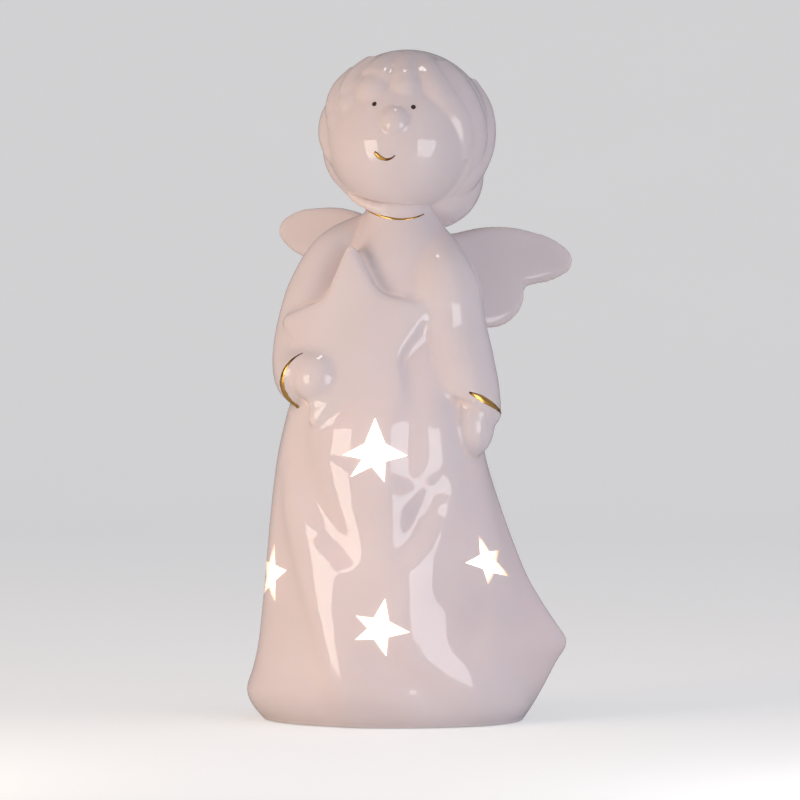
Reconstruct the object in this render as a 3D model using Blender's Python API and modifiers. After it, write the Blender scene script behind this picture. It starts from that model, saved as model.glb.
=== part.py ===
"""LED angel: a slip-cast, glazed porcelain figure with a push-in battery light in its base.

Metres, +Z up. The figure stands on z = 0 and faces -Y, and the origin lies under the middle of its box.
Azimuths are in degrees from the front, -Y, and grow towards +X, the angel's own left.
"""

import math

import bmesh
import bpy
from mathutils import Matrix, Vector
from mathutils.bvhtree import BVHTree

# Porcelain
WALL = 0.0035
FLOOR_THICKNESS = 0.0035
CLAY_VOXEL = 0.0012
GLAZE_SMOOTHING = 4
CLAY_SHARE_KEPT = 0.045
CAVITY_VOXEL = 0.0028
CAVITY_SHARE_KEPT = 0.18

# Gown and torso, from the foot up: height, then how far the section reaches left, right, front and back
GOWN = (
    (-0.0030, -0.0405, 0.0395, -0.0305, 0.0300),
    (0.0010, -0.0440, 0.0420, -0.0330, 0.0320),
    (0.0045, -0.0470, 0.0445, -0.0352, 0.0338),
    (0.0095, -0.0488, 0.0455, -0.0362, 0.0345),
    (0.0160, -0.0468, 0.0450, -0.0358, 0.0340),
    (0.0250, -0.0450, 0.0435, -0.0350, 0.0330),
    (0.0460, -0.0432, 0.0400, -0.0332, 0.0310),
    (0.0660, -0.0410, 0.0345, -0.0312, 0.0282),
    (0.0850, -0.0382, 0.0300, -0.0290, 0.0262),
    (0.1000, -0.0346, 0.0275, -0.0270, 0.0243),
    (0.1200, -0.0290, 0.0262, -0.0246, 0.0224),
    (0.1380, -0.0235, 0.0250, -0.0216, 0.0204),
    (0.1500, -0.0175, 0.0210, -0.0176, 0.0176),
    (0.1580, -0.0120, 0.0170, -0.0136, 0.0146),
    (0.1660, -0.0080, 0.0140, -0.0106, 0.0126),
    (0.1740, -0.0060, 0.0120, -0.0090, 0.0110),
)
GOWN_RINGS = 92
GOWN_SEGMENTS = 120

# The hem's blown-out corner on the left: height and reach of its edge
CORNER_AZIMUTH = 97.0
CORNER_EDGE = (
    (-0.0030, 0.0395),
    (0.0033, 0.0440),
    (0.0110, 0.0487),
    (0.0190, 0.0530),
    (0.0252, 0.0565),
    (0.0310, 0.0530),
    (0.0385, 0.0480),
    (0.0460, 0.0436),
    (0.0580, 0.0386),
    (0.0720, 0.0336),
    (0.0850, 0.0295),
    (0.1740, 0.0050),
)
CORNER_ROUNDING = 0.05

# Folds pressed into the gown: (azimuth, height) along each one, how far it stands out, and its half-width
FOLDS = (
    (((-42, 0.082), (-22, 0.058), (-4, 0.042), (10, 0.026)), -0.0030, 0.0052),
    (((-54, 0.080), (-40, 0.050), (-26, 0.012)), 0.0016, 0.0050),
    (((-2, 0.100), (-3, 0.062), (2, 0.038)), 0.0020, 0.0085),
    (((40, 0.112), (32, 0.088), (19, 0.062)), -0.0030, 0.0052),
    (((50, 0.082), (34, 0.064), (25, 0.040), (34, 0.014)), 0.0021, 0.0056),
    (((66, 0.044), (46, 0.022)), -0.0013, 0.0052),
    (((-95, 0.085), (-88, 0.045), (-96, 0.014)), -0.0016, 0.0065),
    (((140, 0.110), (136, 0.060), (126, 0.018)), -0.0020, 0.0070),
    (((178, 0.115), (184, 0.062), (176, 0.016)), -0.0022, 0.0075),
    (((222, 0.110), (226, 0.060), (236, 0.018)), -0.0020, 0.0070),
)

# Sleeves: points along each arm with the sleeve's radius there, and the hands that show below the cuffs
RIGHT_SLEEVE = (
    ((-0.0080, 0.0000, 0.1600), 0.0060),
    ((-0.0190, -0.0030, 0.1510), 0.0086),
    ((-0.0259, -0.0056, 0.1380), 0.0094),
    ((-0.0288, -0.0096, 0.1220), 0.0100),
    ((-0.0278, -0.0160, 0.1130), 0.0100),
    ((-0.0252, -0.0225, 0.1100), 0.0098),
)
LEFT_SLEEVE = (
    ((0.0100, 0.0020, 0.1560), 0.0066),
    ((0.0152, 0.0026, 0.1460), 0.0090),
    ((0.0198, 0.0026, 0.1320), 0.0097),
    ((0.0238, 0.0014, 0.1140), 0.0101),
    ((0.0249, -0.0002, 0.1015), 0.0105),
)
RIGHT_HAND = ((-0.0205, -0.0285, 0.1108), (0.0074, 0.0060, 0.0076))
LEFT_HAND = ((0.0258, -0.0012, 0.0968), (0.0066, 0.0064, 0.0106))

# The big star that the right arm holds
HELD_STAR_CENTRE = (-0.0102, -0.0238, 0.1218)
HELD_STAR_RADIUS = 0.0304
HELD_STAR_INNER = 0.0168
HELD_STAR_THICKNESS = 0.0072
HELD_STAR_EDGE = 0.0026
HELD_STAR_NARROWING = 0.86
HELD_STAR_ROLL = 7.0
HELD_STAR_LEAN = 8.0
HELD_STAR_AZIMUTH = -9.0
HELD_STAR_BEND = 0.034

# Collar, head and hair. The upper body leans to the angel's left, and the head a little more
UPPER_ROLL = 7.0
HEAD_ROLL = 9.0
COLLAR_CENTRE = (0.0018, 0.0010, 0.1668)
COLLAR_RADIUS = 0.0112
COLLAR_THICKNESS = 0.0020
HEAD_RADIUS = 0.0254
HEAD_OFFSET = (0.0014, -0.0035)
HEAD_SINK = 0.0030
NOSE_DIRECTION = (2.0, 8.5)
NOSE_RADIUS = 0.0042
NOSE_SINK = 0.0006
HAIR_THICKNESS = 0.0027
HAIR_OFFSET = (0.0012, 0.0025, 0.0006)
HAIRLINE_DIRECTION = (2.0, -16.0)
HAIRLINE_SHARE = 0.46
NAPE_OFFSET = (0.0055, 0.0095, -0.0128)
NAPE_RADII = (0.0180, 0.0150, 0.0175)

# Locks of hair: azimuth and elevation on the head at the root, the middle and the tip, and the lock's half-width
LOCK_SINK = 0.0022
LOCKS = (
    ((-12, 66), (-10, 48), (2, 33), 0.0052),
    ((-26, 62), (-26, 42), (-40, 22), 0.0056),
    ((-50, 56), (-50, 32), (-62, 8), 0.0050),
    ((12, 66), (14, 46), (28, 30), 0.0052),
    ((34, 60), (36, 40), (52, 14), 0.0052),
    ((58, 46), (60, 22), (66, -8), 0.0046),
    ((70, 16), (68, -14), (58, -44), 0.0042),
    ((-74, 20), (-76, -6), (-66, -34), 0.0036),
    ((96, 62), (94, 24), (92, -22), 0.0058),
    ((128, 62), (126, 22), (124, -30), 0.0060),
    ((160, 62), (162, 20), (160, -34), 0.0060),
    ((194, 62), (196, 20), (196, -34), 0.0060),
    ((228, 62), (230, 22), (232, -30), 0.0060),
    ((262, 60), (264, 24), (262, -16), 0.0054),
)

# Wings: one outline of both lobes, outwards from the spine and up from the root
WING_ROOT = (0.0025, 0.0165, 0.1500)
WING_SWEEP = 24.0
WING_THICKNESS = 0.0046
WING_EDGE = 0.0018
WING_OUTLINE = (
    (-0.004, 0.002),
    (0.0140, 0.0090),
    (0.0280, 0.0130),
    (0.0400, 0.0128),
    (0.0500, 0.0100),
    (0.0537, 0.0060),
    (0.0500, 0.0018),
    (0.0420, -0.0014),
)
WING_NOTCH = (0.0362, -0.0028)
WING_LOWER_OUTLINE = (
    (0.0378, -0.0078),
    (0.0350, -0.0142),
    (0.0285, -0.0177),
    (0.0180, -0.0168),
    (0.0060, -0.0110),
    (-0.004, -0.0050),
)

# Stars cut through the gown: azimuth, height, radius and tilt
CUT_STARS = (
    (9.0, 0.0868, 0.0101, 3.0),
    (3.0, 0.0318, 0.0094, 18.0),
    (64.0, 0.0512, 0.0083, -10.0),
    (-64.0, 0.0470, 0.0092, 20.0),
)
CUT_STAR_INNER_SHARE = 0.44

# Gilding and eyes, laid on the glaze. Azimuths and elevations are those of the leaning head and collar
GILDING_RADIUS = 0.0004
GILDING_STEP = 0.0016
GLAZE_GAP = 0.00035
NECKLINE_TURN = (-64.0, 36.0)
MOUTH = ((-9.0, -17.0), (-5.0, -20.0), (0.0, -21.0), (4.0, -19.0), (7.0, -16.0))
EYE_RADIUS = 0.0008
RIGHT_EYE = (-16.0, 18.0)
LEFT_EYE = (14.5, 20.0)
CUFF_SETBACK = 0.0024
RIGHT_CUFF_TURN = (-90.0, -75.0, 62.0)
LEFT_CUFF_TURN = (90.0, -15.0, 72.0)

# The light unit: a recess under the porcelain floor, a hole, and a plastic puck that a rubber ring holds in it
SLACK = 0.0003
FOOT_WIDTH = 0.0042
RECESS_DEPTH = 0.0070
RING_LIP = 0.0010
RING_WALL = 0.0014
RING_BEAD = 0.0008
BASE_THICKNESS = 0.0030
FLANGE_REACH = 0.0034
CUP_RADIUS = 0.0180
CUP_WALL = 0.0012
CUP_HEIGHT = 0.0118
CELL_RADIUS = 0.0100
CELL_THICKNESS = 0.0032
CELL_OFFSET = 0.0045
CELL_PLAY = 0.0004
BAY_WALL = 0.0010
BAY_HEIGHT = 0.0044
DOOR_THICKNESS = 0.0012
DOOR_LEDGE = 0.0009
DOOR_EAR_WIDTH = 0.0056
DOOR_SCREW_REACH = 0.0133
TONGUE_LENGTH = 0.0014
TONGUE_WIDTH = 0.0050
TONGUE_THICKNESS = 0.0006
BOARD_PLAY = 0.0010
BOARD_THICKNESS = 0.0010
BOARD_LIFT = 0.0056
LED_RADIUS = 0.0025
LED_FLANGE = 0.0029
LED_HEIGHT = 0.0086
LED_STANDOFF = 0.0010
LEAD_RADIUS = 0.00025
LEAD_PITCH = 0.00254
CONTACT_THICKNESS = 0.0004
CONTACT_WIDTH = 0.0032
SWITCH_OFFSET = 0.0122
SWITCH_LENGTH = 0.0086
SWITCH_WIDTH = 0.0044
SWITCH_SKIN = 0.0005
SLIDER_LENGTH = 0.0050
SLIDER_THICKNESS = 0.0012
KNOB_LENGTH = 0.0018
KNOB_WIDTH = 0.0016
KNOB_STANDOUT = 0.0008
SWITCH_TRAVEL = 0.0020
CASE_SCREW_SET_IN = 0.0055
CASE_SCREW_OFFSET = -0.0080
SCREW_RADIUS = 0.0010
SCREW_HEAD_RADIUS = 0.0018
SCREW_HEAD_THICKNESS = 0.0010
SCREW_BITE = 0.0046
BOSS_WALL = 0.0011
RESISTOR_RADIUS = 0.0010
RESISTOR_LENGTH = 0.0056
RESISTOR_PLACE = (-0.0070, 0.0010)

# Places and heights that follow from the sizes above
HEAD_CENTRE = (
    COLLAR_CENTRE[0] + HEAD_OFFSET[0],
    COLLAR_CENTRE[1] + HEAD_OFFSET[1],
    COLLAR_CENTRE[2] + HEAD_RADIUS - HEAD_SINK,
)
HAIR_RADIUS = HEAD_RADIUS + HAIR_THICKNESS
HAIR_CENTRE = tuple(place + offset for place, offset in zip(HEAD_CENTRE, HAIR_OFFSET))
NAPE_CENTRE = tuple(place + offset for place, offset in zip(HAIR_CENTRE, NAPE_OFFSET))
FLOOR_UNDERSIDE = RECESS_DEPTH
FLOOR_TOP = FLOOR_UNDERSIDE + FLOOR_THICKNESS
LIP_BOTTOM = FLOOR_UNDERSIDE - SLACK - RING_LIP
BASE_TOP = LIP_BOTTOM - SLACK
BASE_BOTTOM = BASE_TOP - BASE_THICKNESS
DOOR_TOP = BASE_BOTTOM + DOOR_THICKNESS
CELL_BOTTOM = DOOR_TOP + SLACK
CELL_TOP = CELL_BOTTOM + CELL_THICKNESS
CUP_BOTTOM = BASE_TOP + SLACK
CUP_TOP = CUP_BOTTOM + CUP_HEIGHT
BOARD_BOTTOM = BASE_TOP + BOARD_LIFT
BOARD_TOP = BOARD_BOTTOM + BOARD_THICKNESS
RING_INNER = CUP_RADIUS + SLACK
RING_OUTER = RING_INNER + RING_WALL
HOLE_RADIUS = RING_OUTER + SLACK
FLANGE_RADIUS = HOLE_RADIUS + FLANGE_REACH
BOARD_RADIUS = CUP_RADIUS - CUP_WALL - BOARD_PLAY
CELL_CENTRE = (0.0, CELL_OFFSET)
BAY_RADIUS = CELL_RADIUS + CELL_PLAY
BAY_OUTER = BAY_RADIUS + BAY_WALL
DOOR_RADIUS = BAY_RADIUS + DOOR_LEDGE
DOOR_SCREW_PLACE = (DOOR_SCREW_REACH, CELL_OFFSET)
CASE_SCREW_PLACE = (CUP_RADIUS - CASE_SCREW_SET_IN, CASE_SCREW_OFFSET)
CASE_SCREW_PLACES = (CASE_SCREW_PLACE, (-CASE_SCREW_PLACE[0], CASE_SCREW_PLACE[1]))
SCREW_HOLE_RADIUS = SCREW_RADIUS + SLACK
BOSS_RADIUS = SCREW_HOLE_RADIUS + BOSS_WALL
SWITCH_HEIGHT = BOARD_LIFT - 2 * SLACK
RESISTOR_SPAN = RESISTOR_LENGTH + 6 * LEAD_RADIUS

THROUGH = 0.002
ROUND_STEPS = 40
SMALL_STEPS = 16


def clear_scene():
    """Removes the objects that a new file holds."""
    for old in list(bpy.data.objects):
        bpy.data.objects.remove(old)


def collection_of(name):
    """A collection in the scene, made when first asked for."""
    found = bpy.data.collections.get(name)
    if found is None:
        found = bpy.data.collections.new(name)
        bpy.context.scene.collection.children.link(found)
    return found


def add_object(name, data, helper=False):
    """An object for a mesh or a curve. A helper shapes other pieces and isn't one itself."""
    obj = bpy.data.objects.new(name, data)
    collection_of("cutters_and_cores" if helper else "led_angel").objects.link(obj)
    if helper:
        obj.hide_render = True
        obj.display_type = "WIRE"
    return obj


def mesh_object(name, bm, helper=False):
    """An object from a bmesh, with its faces pointing out."""
    bmesh.ops.recalc_face_normals(bm, faces=bm.faces)
    mesh = bpy.data.meshes.new(name)
    bm.to_mesh(mesh)
    bm.free()
    return add_object(name, mesh, helper)


def give_material(obj, name, colour, roughness, metallic=0.0, alpha=1.0):
    """A Principled material for one finish, shared by the pieces that have it."""
    material = bpy.data.materials.get(name)
    if material is None:
        material = bpy.data.materials.new(name)
        material.use_nodes = True
        shader = material.node_tree.nodes["Principled BSDF"]
        shader.inputs["Base Color"].default_value = (*colour, 1.0)
        shader.inputs["Roughness"].default_value = roughness
        shader.inputs["Metallic"].default_value = metallic
        shader.inputs["Alpha"].default_value = alpha
        material.diffuse_color = (*colour, alpha)
    obj.data.materials.clear()
    obj.data.materials.append(material)


def shade_round(obj, sharp_angle=35.0):
    """Smooth shading that keeps the edges sharper than sharp_angle."""
    obj.data.shade_smooth()
    obj.data.set_sharp_from_angle(angle=math.radians(sharp_angle))


def made_mesh(obj):
    """The object's shape with its modifiers, as a mesh object with welded points. The first object is removed."""
    graph = bpy.context.evaluated_depsgraph_get()
    mesh = bpy.data.meshes.new_from_object(obj.evaluated_get(graph))
    bm = bmesh.new()
    bm.from_mesh(mesh)
    bmesh.ops.remove_doubles(bm, verts=bm.verts, dist=0.00001)
    bm.transform(obj.matrix_world)
    name = obj.name
    bpy.data.objects.remove(obj)
    return mesh_object(name, bm, helper=True)


def between(stations, height):
    """The row of values at a height, along a smooth curve through the stations."""
    last = len(stations) - 1
    if height <= stations[0][0]:
        return stations[0][1:]
    if height >= stations[last][0]:
        return stations[last][1:]
    i = next(k for k in range(last) if height <= stations[k + 1][0])
    h0, h1 = stations[i][0], stations[i + 1][0]
    t = (height - h0) / (h1 - h0)
    before, after = stations[max(i - 1, 0)], stations[min(i + 2, last)]
    values = []
    for k in range(1, len(stations[0])):
        a, b = stations[i][k], stations[i + 1][k]
        slope_a = (b - before[k]) / (h1 - before[0]) * (h1 - h0)
        slope_b = (after[k] - a) / (after[0] - h0) * (h1 - h0)
        values.append(
            a * (1 + 2 * t) * (1 - t) ** 2
            + b * t * t * (3 - 2 * t)
            + slope_a * t * (1 - t) ** 2
            - slope_b * t * t * (1 - t)
        )
    return tuple(values)


def outward(azimuth):
    """The level direction at an azimuth from the front."""
    turn = math.radians(azimuth)
    return Vector((math.sin(turn), -math.cos(turn), 0.0))


def distance_to_path(azimuth, height, path, radius):
    """How far a place on the gown is from a fold's line, measured over the gown, and how far along the line it is."""
    nearest, along = 1.0, 0.0
    spans = len(path) - 1
    for i in range(spans):
        turn = (azimuth - path[i][0] + 180.0) % 360.0 - 180.0
        p = Vector((math.radians(turn) * radius, height - path[i][1]))
        step = math.radians(path[i + 1][0] - path[i][0]) * radius
        line = Vector((step, path[i + 1][1] - path[i][1]))
        t = min(1.0, max(0.0, p.dot(line) / line.length_squared))
        gap = (p - line * t).length
        if gap < nearest:
            nearest, along = gap, (i + t) / spans
    return nearest, along


def fold_height(azimuth, height, radius):
    """How far the folds lift or press the gown at one place."""
    total = 0.0
    for path, depth, half_width in FOLDS:
        gap, along = distance_to_path(azimuth, height, path, radius)
        fading = 0.35 + 0.65 * math.sin(math.pi * min(1.0, max(0.0, along)))
        total += depth * fading * math.exp(-((gap / half_width) ** 2))
    return total


def gown_radius(azimuth, height):
    """The gown's reach from its middle: an oval, drawn out in straight sides to the hem's corner."""
    left, right, front, back = between(GOWN, height)
    half_width, half_depth = (right - left) / 2, (back - front) / 2
    direction = outward(azimuth)
    flat = Vector((direction.x / half_width, direction.y / half_depth))
    corner = outward(CORNER_AZIMUTH) * between(CORNER_EDGE, height)[0]
    tip = Vector(((corner.x - (left + right) / 2) / half_width, (corner.y - (front + back) / 2) / half_depth))
    stretch = 1.0
    if tip.length > 1.0:
        side = math.acos(1.0 / tip.length)
        away = abs(flat.angle_signed(tip))
        away = math.hypot(away, CORNER_ROUNDING) - CORNER_ROUNDING
        if away < side:
            stretch = 1.0 / math.cos(side - away)
    return stretch / flat.length


def gown_middle(height):
    """The middle of the gown's section at a height."""
    left, right, front, back = between(GOWN, height)
    return Vector(((left + right) / 2, (front + back) / 2, height))


def gown_point(azimuth, height, inset=0.0):
    """A point on the gown, or inset below its surface."""
    radius = gown_radius(azimuth, height)
    radius += fold_height(azimuth, height, radius)
    return gown_middle(height) + outward(azimuth) * max(radius - inset, 0.002)


def gown_form(name, low, high, inset=0.0, rings=GOWN_RINGS, segments=GOWN_SEGMENTS):
    """The gown and torso as one closed form: a ball whose rings are moved to the gown's sections."""
    bm = bmesh.new()
    bmesh.ops.create_uvsphere(bm, u_segments=segments, v_segments=rings, radius=1.0)
    for vert in bm.verts:
        level = (1.0 - math.acos(max(-1.0, min(1.0, vert.co.z))) / math.pi) * rings
        height = low + (high - low) * min(1.0, max(0.0, (level - 1.0) / (rings - 2.0)))
        if level < 0.5 or level > rings - 0.5:
            vert.co = gown_middle(height)
        else:
            azimuth = math.degrees(math.atan2(vert.co.x, -vert.co.y))
            vert.co = gown_point(azimuth, height, inset)
    return mesh_object(name, bm, helper=True)


def ball(name, centre, radii, steps=32):
    """An egg shape."""
    bm = bmesh.new()
    bmesh.ops.create_uvsphere(bm, u_segments=steps, v_segments=steps // 2, radius=1.0)
    bm.transform(Matrix.Translation(centre) @ Matrix.Diagonal((*radii, 1.0)))
    return mesh_object(name, bm, helper=True)


def tube(name, points, radii, resolution=4, helper=True):
    """A tube along a smooth curve through the points, with its own radius at each point."""
    curve = bpy.data.curves.new(name, "CURVE")
    curve.dimensions = "3D"
    curve.resolution_u = 8
    curve.bevel_depth = 1.0
    curve.bevel_resolution = resolution
    curve.use_fill_caps = True
    spline = curve.splines.new("BEZIER")
    spline.bezier_points.add(len(points) - 1)
    for knot, place, radius in zip(spline.bezier_points, points, radii):
        knot.co = place
        knot.radius = radius
        knot.handle_left_type = knot.handle_right_type = "AUTO"
    return add_object(name, curve, helper)


def star_outline(outer, inner):
    """The ten corners of a five-pointed star, from its top point round."""
    corners = []
    for k in range(10):
        radius = inner if k % 2 else outer
        turn = math.pi * k / 5
        corners.append((radius * math.sin(turn), radius * math.cos(turn)))
    return corners


def flat_curve(name, outline, thickness, edge, smooth=False):
    """A plate from a flat outline, with rounded edges."""
    curve = bpy.data.curves.new(name, "CURVE")
    curve.dimensions = "2D"
    curve.fill_mode = "BOTH"
    curve.extrude = thickness / 2 - edge
    curve.bevel_depth = edge
    curve.bevel_resolution = 3
    spline = curve.splines.new("BEZIER" if smooth else "POLY")
    knots = spline.bezier_points if smooth else spline.points
    knots.add(len(outline) - 1)
    for knot, (u, v) in zip(knots, outline):
        if smooth:
            knot.co = (u, v, 0.0)
            knot.handle_left_type = knot.handle_right_type = "AUTO"
        else:
            knot.co = (u, v, 0.0, 1.0)
    spline.use_cyclic_u = True
    return add_object(name, curve, helper=True)


def leaning_frame(place, roll=UPPER_ROLL):
    """The leaning frame of the upper body at one place: the wings, the head and the collar follow it."""
    return Matrix.Translation(place) @ Matrix.Rotation(math.radians(roll), 4, "Y")


def held_star():
    """The big star: a rounded plate that bends a little round the chest."""
    corners = star_outline(HELD_STAR_RADIUS - HELD_STAR_EDGE, HELD_STAR_INNER - HELD_STAR_EDGE)
    outline = [(x * HELD_STAR_NARROWING, y) for x, y in corners]
    plate = flat_curve("held_star", outline, HELD_STAR_THICKNESS, HELD_STAR_EDGE)
    plate = made_mesh(plate)
    even = plate.modifiers.new("even_mesh", "REMESH")
    even.mode = "VOXEL"
    even.voxel_size = CLAY_VOXEL
    plate = made_mesh(plate)
    bm = bmesh.new()
    bm.from_mesh(plate.data)
    bm.transform(Matrix.Rotation(math.radians(HELD_STAR_ROLL), 4, "Z"))
    for vert in bm.verts:
        turn = vert.co.x / HELD_STAR_BEND
        reach = HELD_STAR_BEND + vert.co.z
        vert.co = Vector((reach * math.sin(turn), HELD_STAR_BEND - reach * math.cos(turn), vert.co.y))
    bm.transform(
        Matrix.Translation(HELD_STAR_CENTRE)
        @ Matrix.Rotation(math.radians(HELD_STAR_AZIMUTH), 4, "Z")
        @ Matrix.Rotation(math.radians(-HELD_STAR_LEAN), 4, "X")
    )
    bpy.data.objects.remove(plate)
    return mesh_object("held_star", bm, helper=True)


def sleeve(name, points_and_radii):
    """One arm in its sleeve, cut off square at the cuff."""
    points = [p for p, _ in points_and_radii]
    radii = [r for _, r in points_and_radii]
    return tube(name, points, radii, resolution=8)


def on_head(azimuth, elevation, radius, centre=HEAD_CENTRE):
    """A point on a ball round the head, seen from the leaning head's own front."""
    up = math.radians(elevation)
    direction = outward(azimuth) * math.cos(up) + Vector((0.0, 0.0, math.sin(up)))
    return leaning_frame(centre, HEAD_ROLL) @ (direction * radius)


def hair_cap():
    """The hair as a cap: a ball cut open in front by a plane, so that the face shows."""
    bm = bmesh.new()
    bmesh.ops.create_uvsphere(bm, u_segments=48, v_segments=32, radius=HAIR_RADIUS)
    azimuth, elevation = HAIRLINE_DIRECTION
    up = math.radians(elevation)
    facing = outward(azimuth) * math.cos(up) + Vector((0.0, 0.0, math.sin(up)))
    cut = bmesh.ops.bisect_plane(
        bm,
        geom=bm.verts[:] + bm.edges[:] + bm.faces[:],
        plane_co=facing * HAIR_RADIUS * HAIRLINE_SHARE,
        plane_no=facing,
        clear_outer=True,
    )
    bmesh.ops.contextual_create(bm, geom=[e for e in cut["geom_cut"] if isinstance(e, bmesh.types.BMEdge)])
    bm.transform(leaning_frame(HAIR_CENTRE, HEAD_ROLL))
    return mesh_object("hair_cap", bm, helper=True)


def hair_locks():
    """The locks: tapering tubes that lie half sunk in the hair cap."""
    locks = []
    for number, (root, middle, tip, half_width) in enumerate(LOCKS, 1):
        lift = HAIR_RADIUS - LOCK_SINK
        points = [on_head(*place, lift, HAIR_CENTRE) for place in (root, middle, tip)]
        radii = (half_width * 0.75, half_width, half_width * 0.35)
        locks.append(tube(f"lock_{number}", points, radii, resolution=4))
    return locks


def collar():
    """The ring of the gown's collar, under the chin."""
    bm = bmesh.new()
    section = [
        bm.verts.new((COLLAR_RADIUS + COLLAR_THICKNESS * math.cos(t), 0.0, COLLAR_THICKNESS * math.sin(t)))
        for t in (2 * math.pi * k / 12 for k in range(12))
    ]
    edges = [bm.edges.new((section[k - 1], section[k])) for k in range(12)]
    bmesh.ops.spin(
        bm, geom=section + edges, axis=(0, 0, 1), cent=(0, 0, 0), steps=ROUND_STEPS, angle=2 * math.pi, use_merge=True
    )
    bmesh.ops.remove_doubles(bm, verts=bm.verts, dist=0.00001)
    bm.transform(leaning_frame(COLLAR_CENTRE))
    return mesh_object("collar", bm, helper=True)


def wing(side):
    """One wing. side is 1 for the angel's left wing and -1 for its right."""
    outline = list(WING_OUTLINE) + [WING_NOTCH] + list(WING_LOWER_OUTLINE)
    curve = flat_curve("left_wing" if side > 0 else "right_wing", outline, WING_THICKNESS, WING_EDGE, smooth=True)
    notch = curve.data.splines[0].bezier_points[len(WING_OUTLINE)]
    notch.handle_left_type = notch.handle_right_type = "VECTOR"
    plate = made_mesh(curve)
    upright = Matrix.Rotation(math.radians(90.0), 4, "X")
    swept = Matrix.Rotation(math.radians(WING_SWEEP), 4, "Z")
    mirrored = Matrix.Diagonal((side, 1.0, 1.0, 1.0))
    plate.data.transform(leaning_frame(WING_ROOT) @ mirrored @ swept @ upright)
    if side < 0:
        plate.data.flip_normals()
    return plate


def joined(name, pieces, helper=True):
    """Several overlapping forms as one object, before the clay modifiers make them one skin."""
    bm = bmesh.new()
    for piece in pieces:
        solid = made_mesh(piece)
        bm.from_mesh(solid.data)
        bpy.data.objects.remove(solid)
    mesh = bpy.data.meshes.new(name)
    bm.to_mesh(mesh)
    bm.free()
    return add_object(name, mesh, helper)


def add_clay_skin(obj, voxel, smoothing, share_kept):
    """Merges what overlaps into one skin with soft creases, and keeps only the triangles that its shape needs."""
    remesh = obj.modifiers.new("one_skin", "REMESH")
    remesh.mode = "VOXEL"
    remesh.voxel_size = voxel
    remesh.adaptivity = 0.0
    soft = obj.modifiers.new("glaze_softness", "SMOOTH")
    soft.factor = 0.5
    soft.iterations = smoothing
    fewer = obj.modifiers.new("fewer_triangles", "DECIMATE")
    fewer.ratio = share_kept


def add_boolean(obj, tool, operation="DIFFERENCE"):
    """A Boolean with one tool object."""
    modifier = obj.modifiers.new(f"{operation.lower()}_{tool.name}", "BOOLEAN")
    modifier.operation = operation
    modifier.solver = "EXACT"
    modifier.object = tool


def cylinder(name, radius, bottom, top, centre=(0.0, 0.0), steps=ROUND_STEPS, helper=True):
    """An upright cylinder between two heights."""
    bm = bmesh.new()
    bmesh.ops.create_cone(bm, cap_ends=True, segments=steps, radius1=radius, radius2=radius, depth=top - bottom)
    bm.transform(Matrix.Translation((*centre, (bottom + top) / 2)))
    return mesh_object(name, bm, helper)


def block(name, size, centre, helper=True):
    """A box of one size about its centre."""
    bm = bmesh.new()
    bmesh.ops.create_cube(bm, size=1.0)
    bm.transform(Matrix.Translation(centre) @ Matrix.Diagonal((*size, 1.0)))
    return mesh_object(name, bm, helper)


def star_cutter(number, azimuth, height, radius, tilt):
    """A star-shaped prism that goes through the gown's wall from outside."""
    axis_point = gown_middle(height)
    reach = (gown_point(azimuth, height) - axis_point).length
    outline = star_outline(radius, radius * CUT_STAR_INNER_SHARE)
    prism = made_mesh(flat_curve(f"cut_star_{number}", outline, reach * 0.5, 0.0))
    prism.data.transform(
        Matrix.Translation(axis_point)
        @ Matrix.Rotation(math.radians(azimuth), 4, "Z")
        @ Matrix.Rotation(math.radians(90.0), 4, "X")
        @ Matrix.Translation((0.0, 0.0, reach * 0.85))
        @ Matrix.Rotation(math.radians(-tilt), 4, "Z")
    )
    return prism


def angel_cavity():
    """The hollow that slip casting leaves: gown, neck and head, one wall's thickness inside."""
    top = COLLAR_CENTRE[2]
    gown = gown_form("gown_hollow", FLOOR_TOP, top - 2 * WALL, inset=WALL, rings=40, segments=48)
    neck_radius = COLLAR_RADIUS - WALL - COLLAR_THICKNESS
    neck = tube(
        "neck_hollow",
        ((COLLAR_CENTRE[0], COLLAR_CENTRE[1], top - 6 * WALL), HEAD_CENTRE),
        (neck_radius, neck_radius),
    )
    head = ball("head_hollow", HEAD_CENTRE, (HEAD_RADIUS - WALL,) * 3)
    cavity = joined("angel_hollow", (gown, neck, head))
    add_clay_skin(cavity, CAVITY_VOXEL, 2, CAVITY_SHARE_KEPT)
    return cavity


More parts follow.
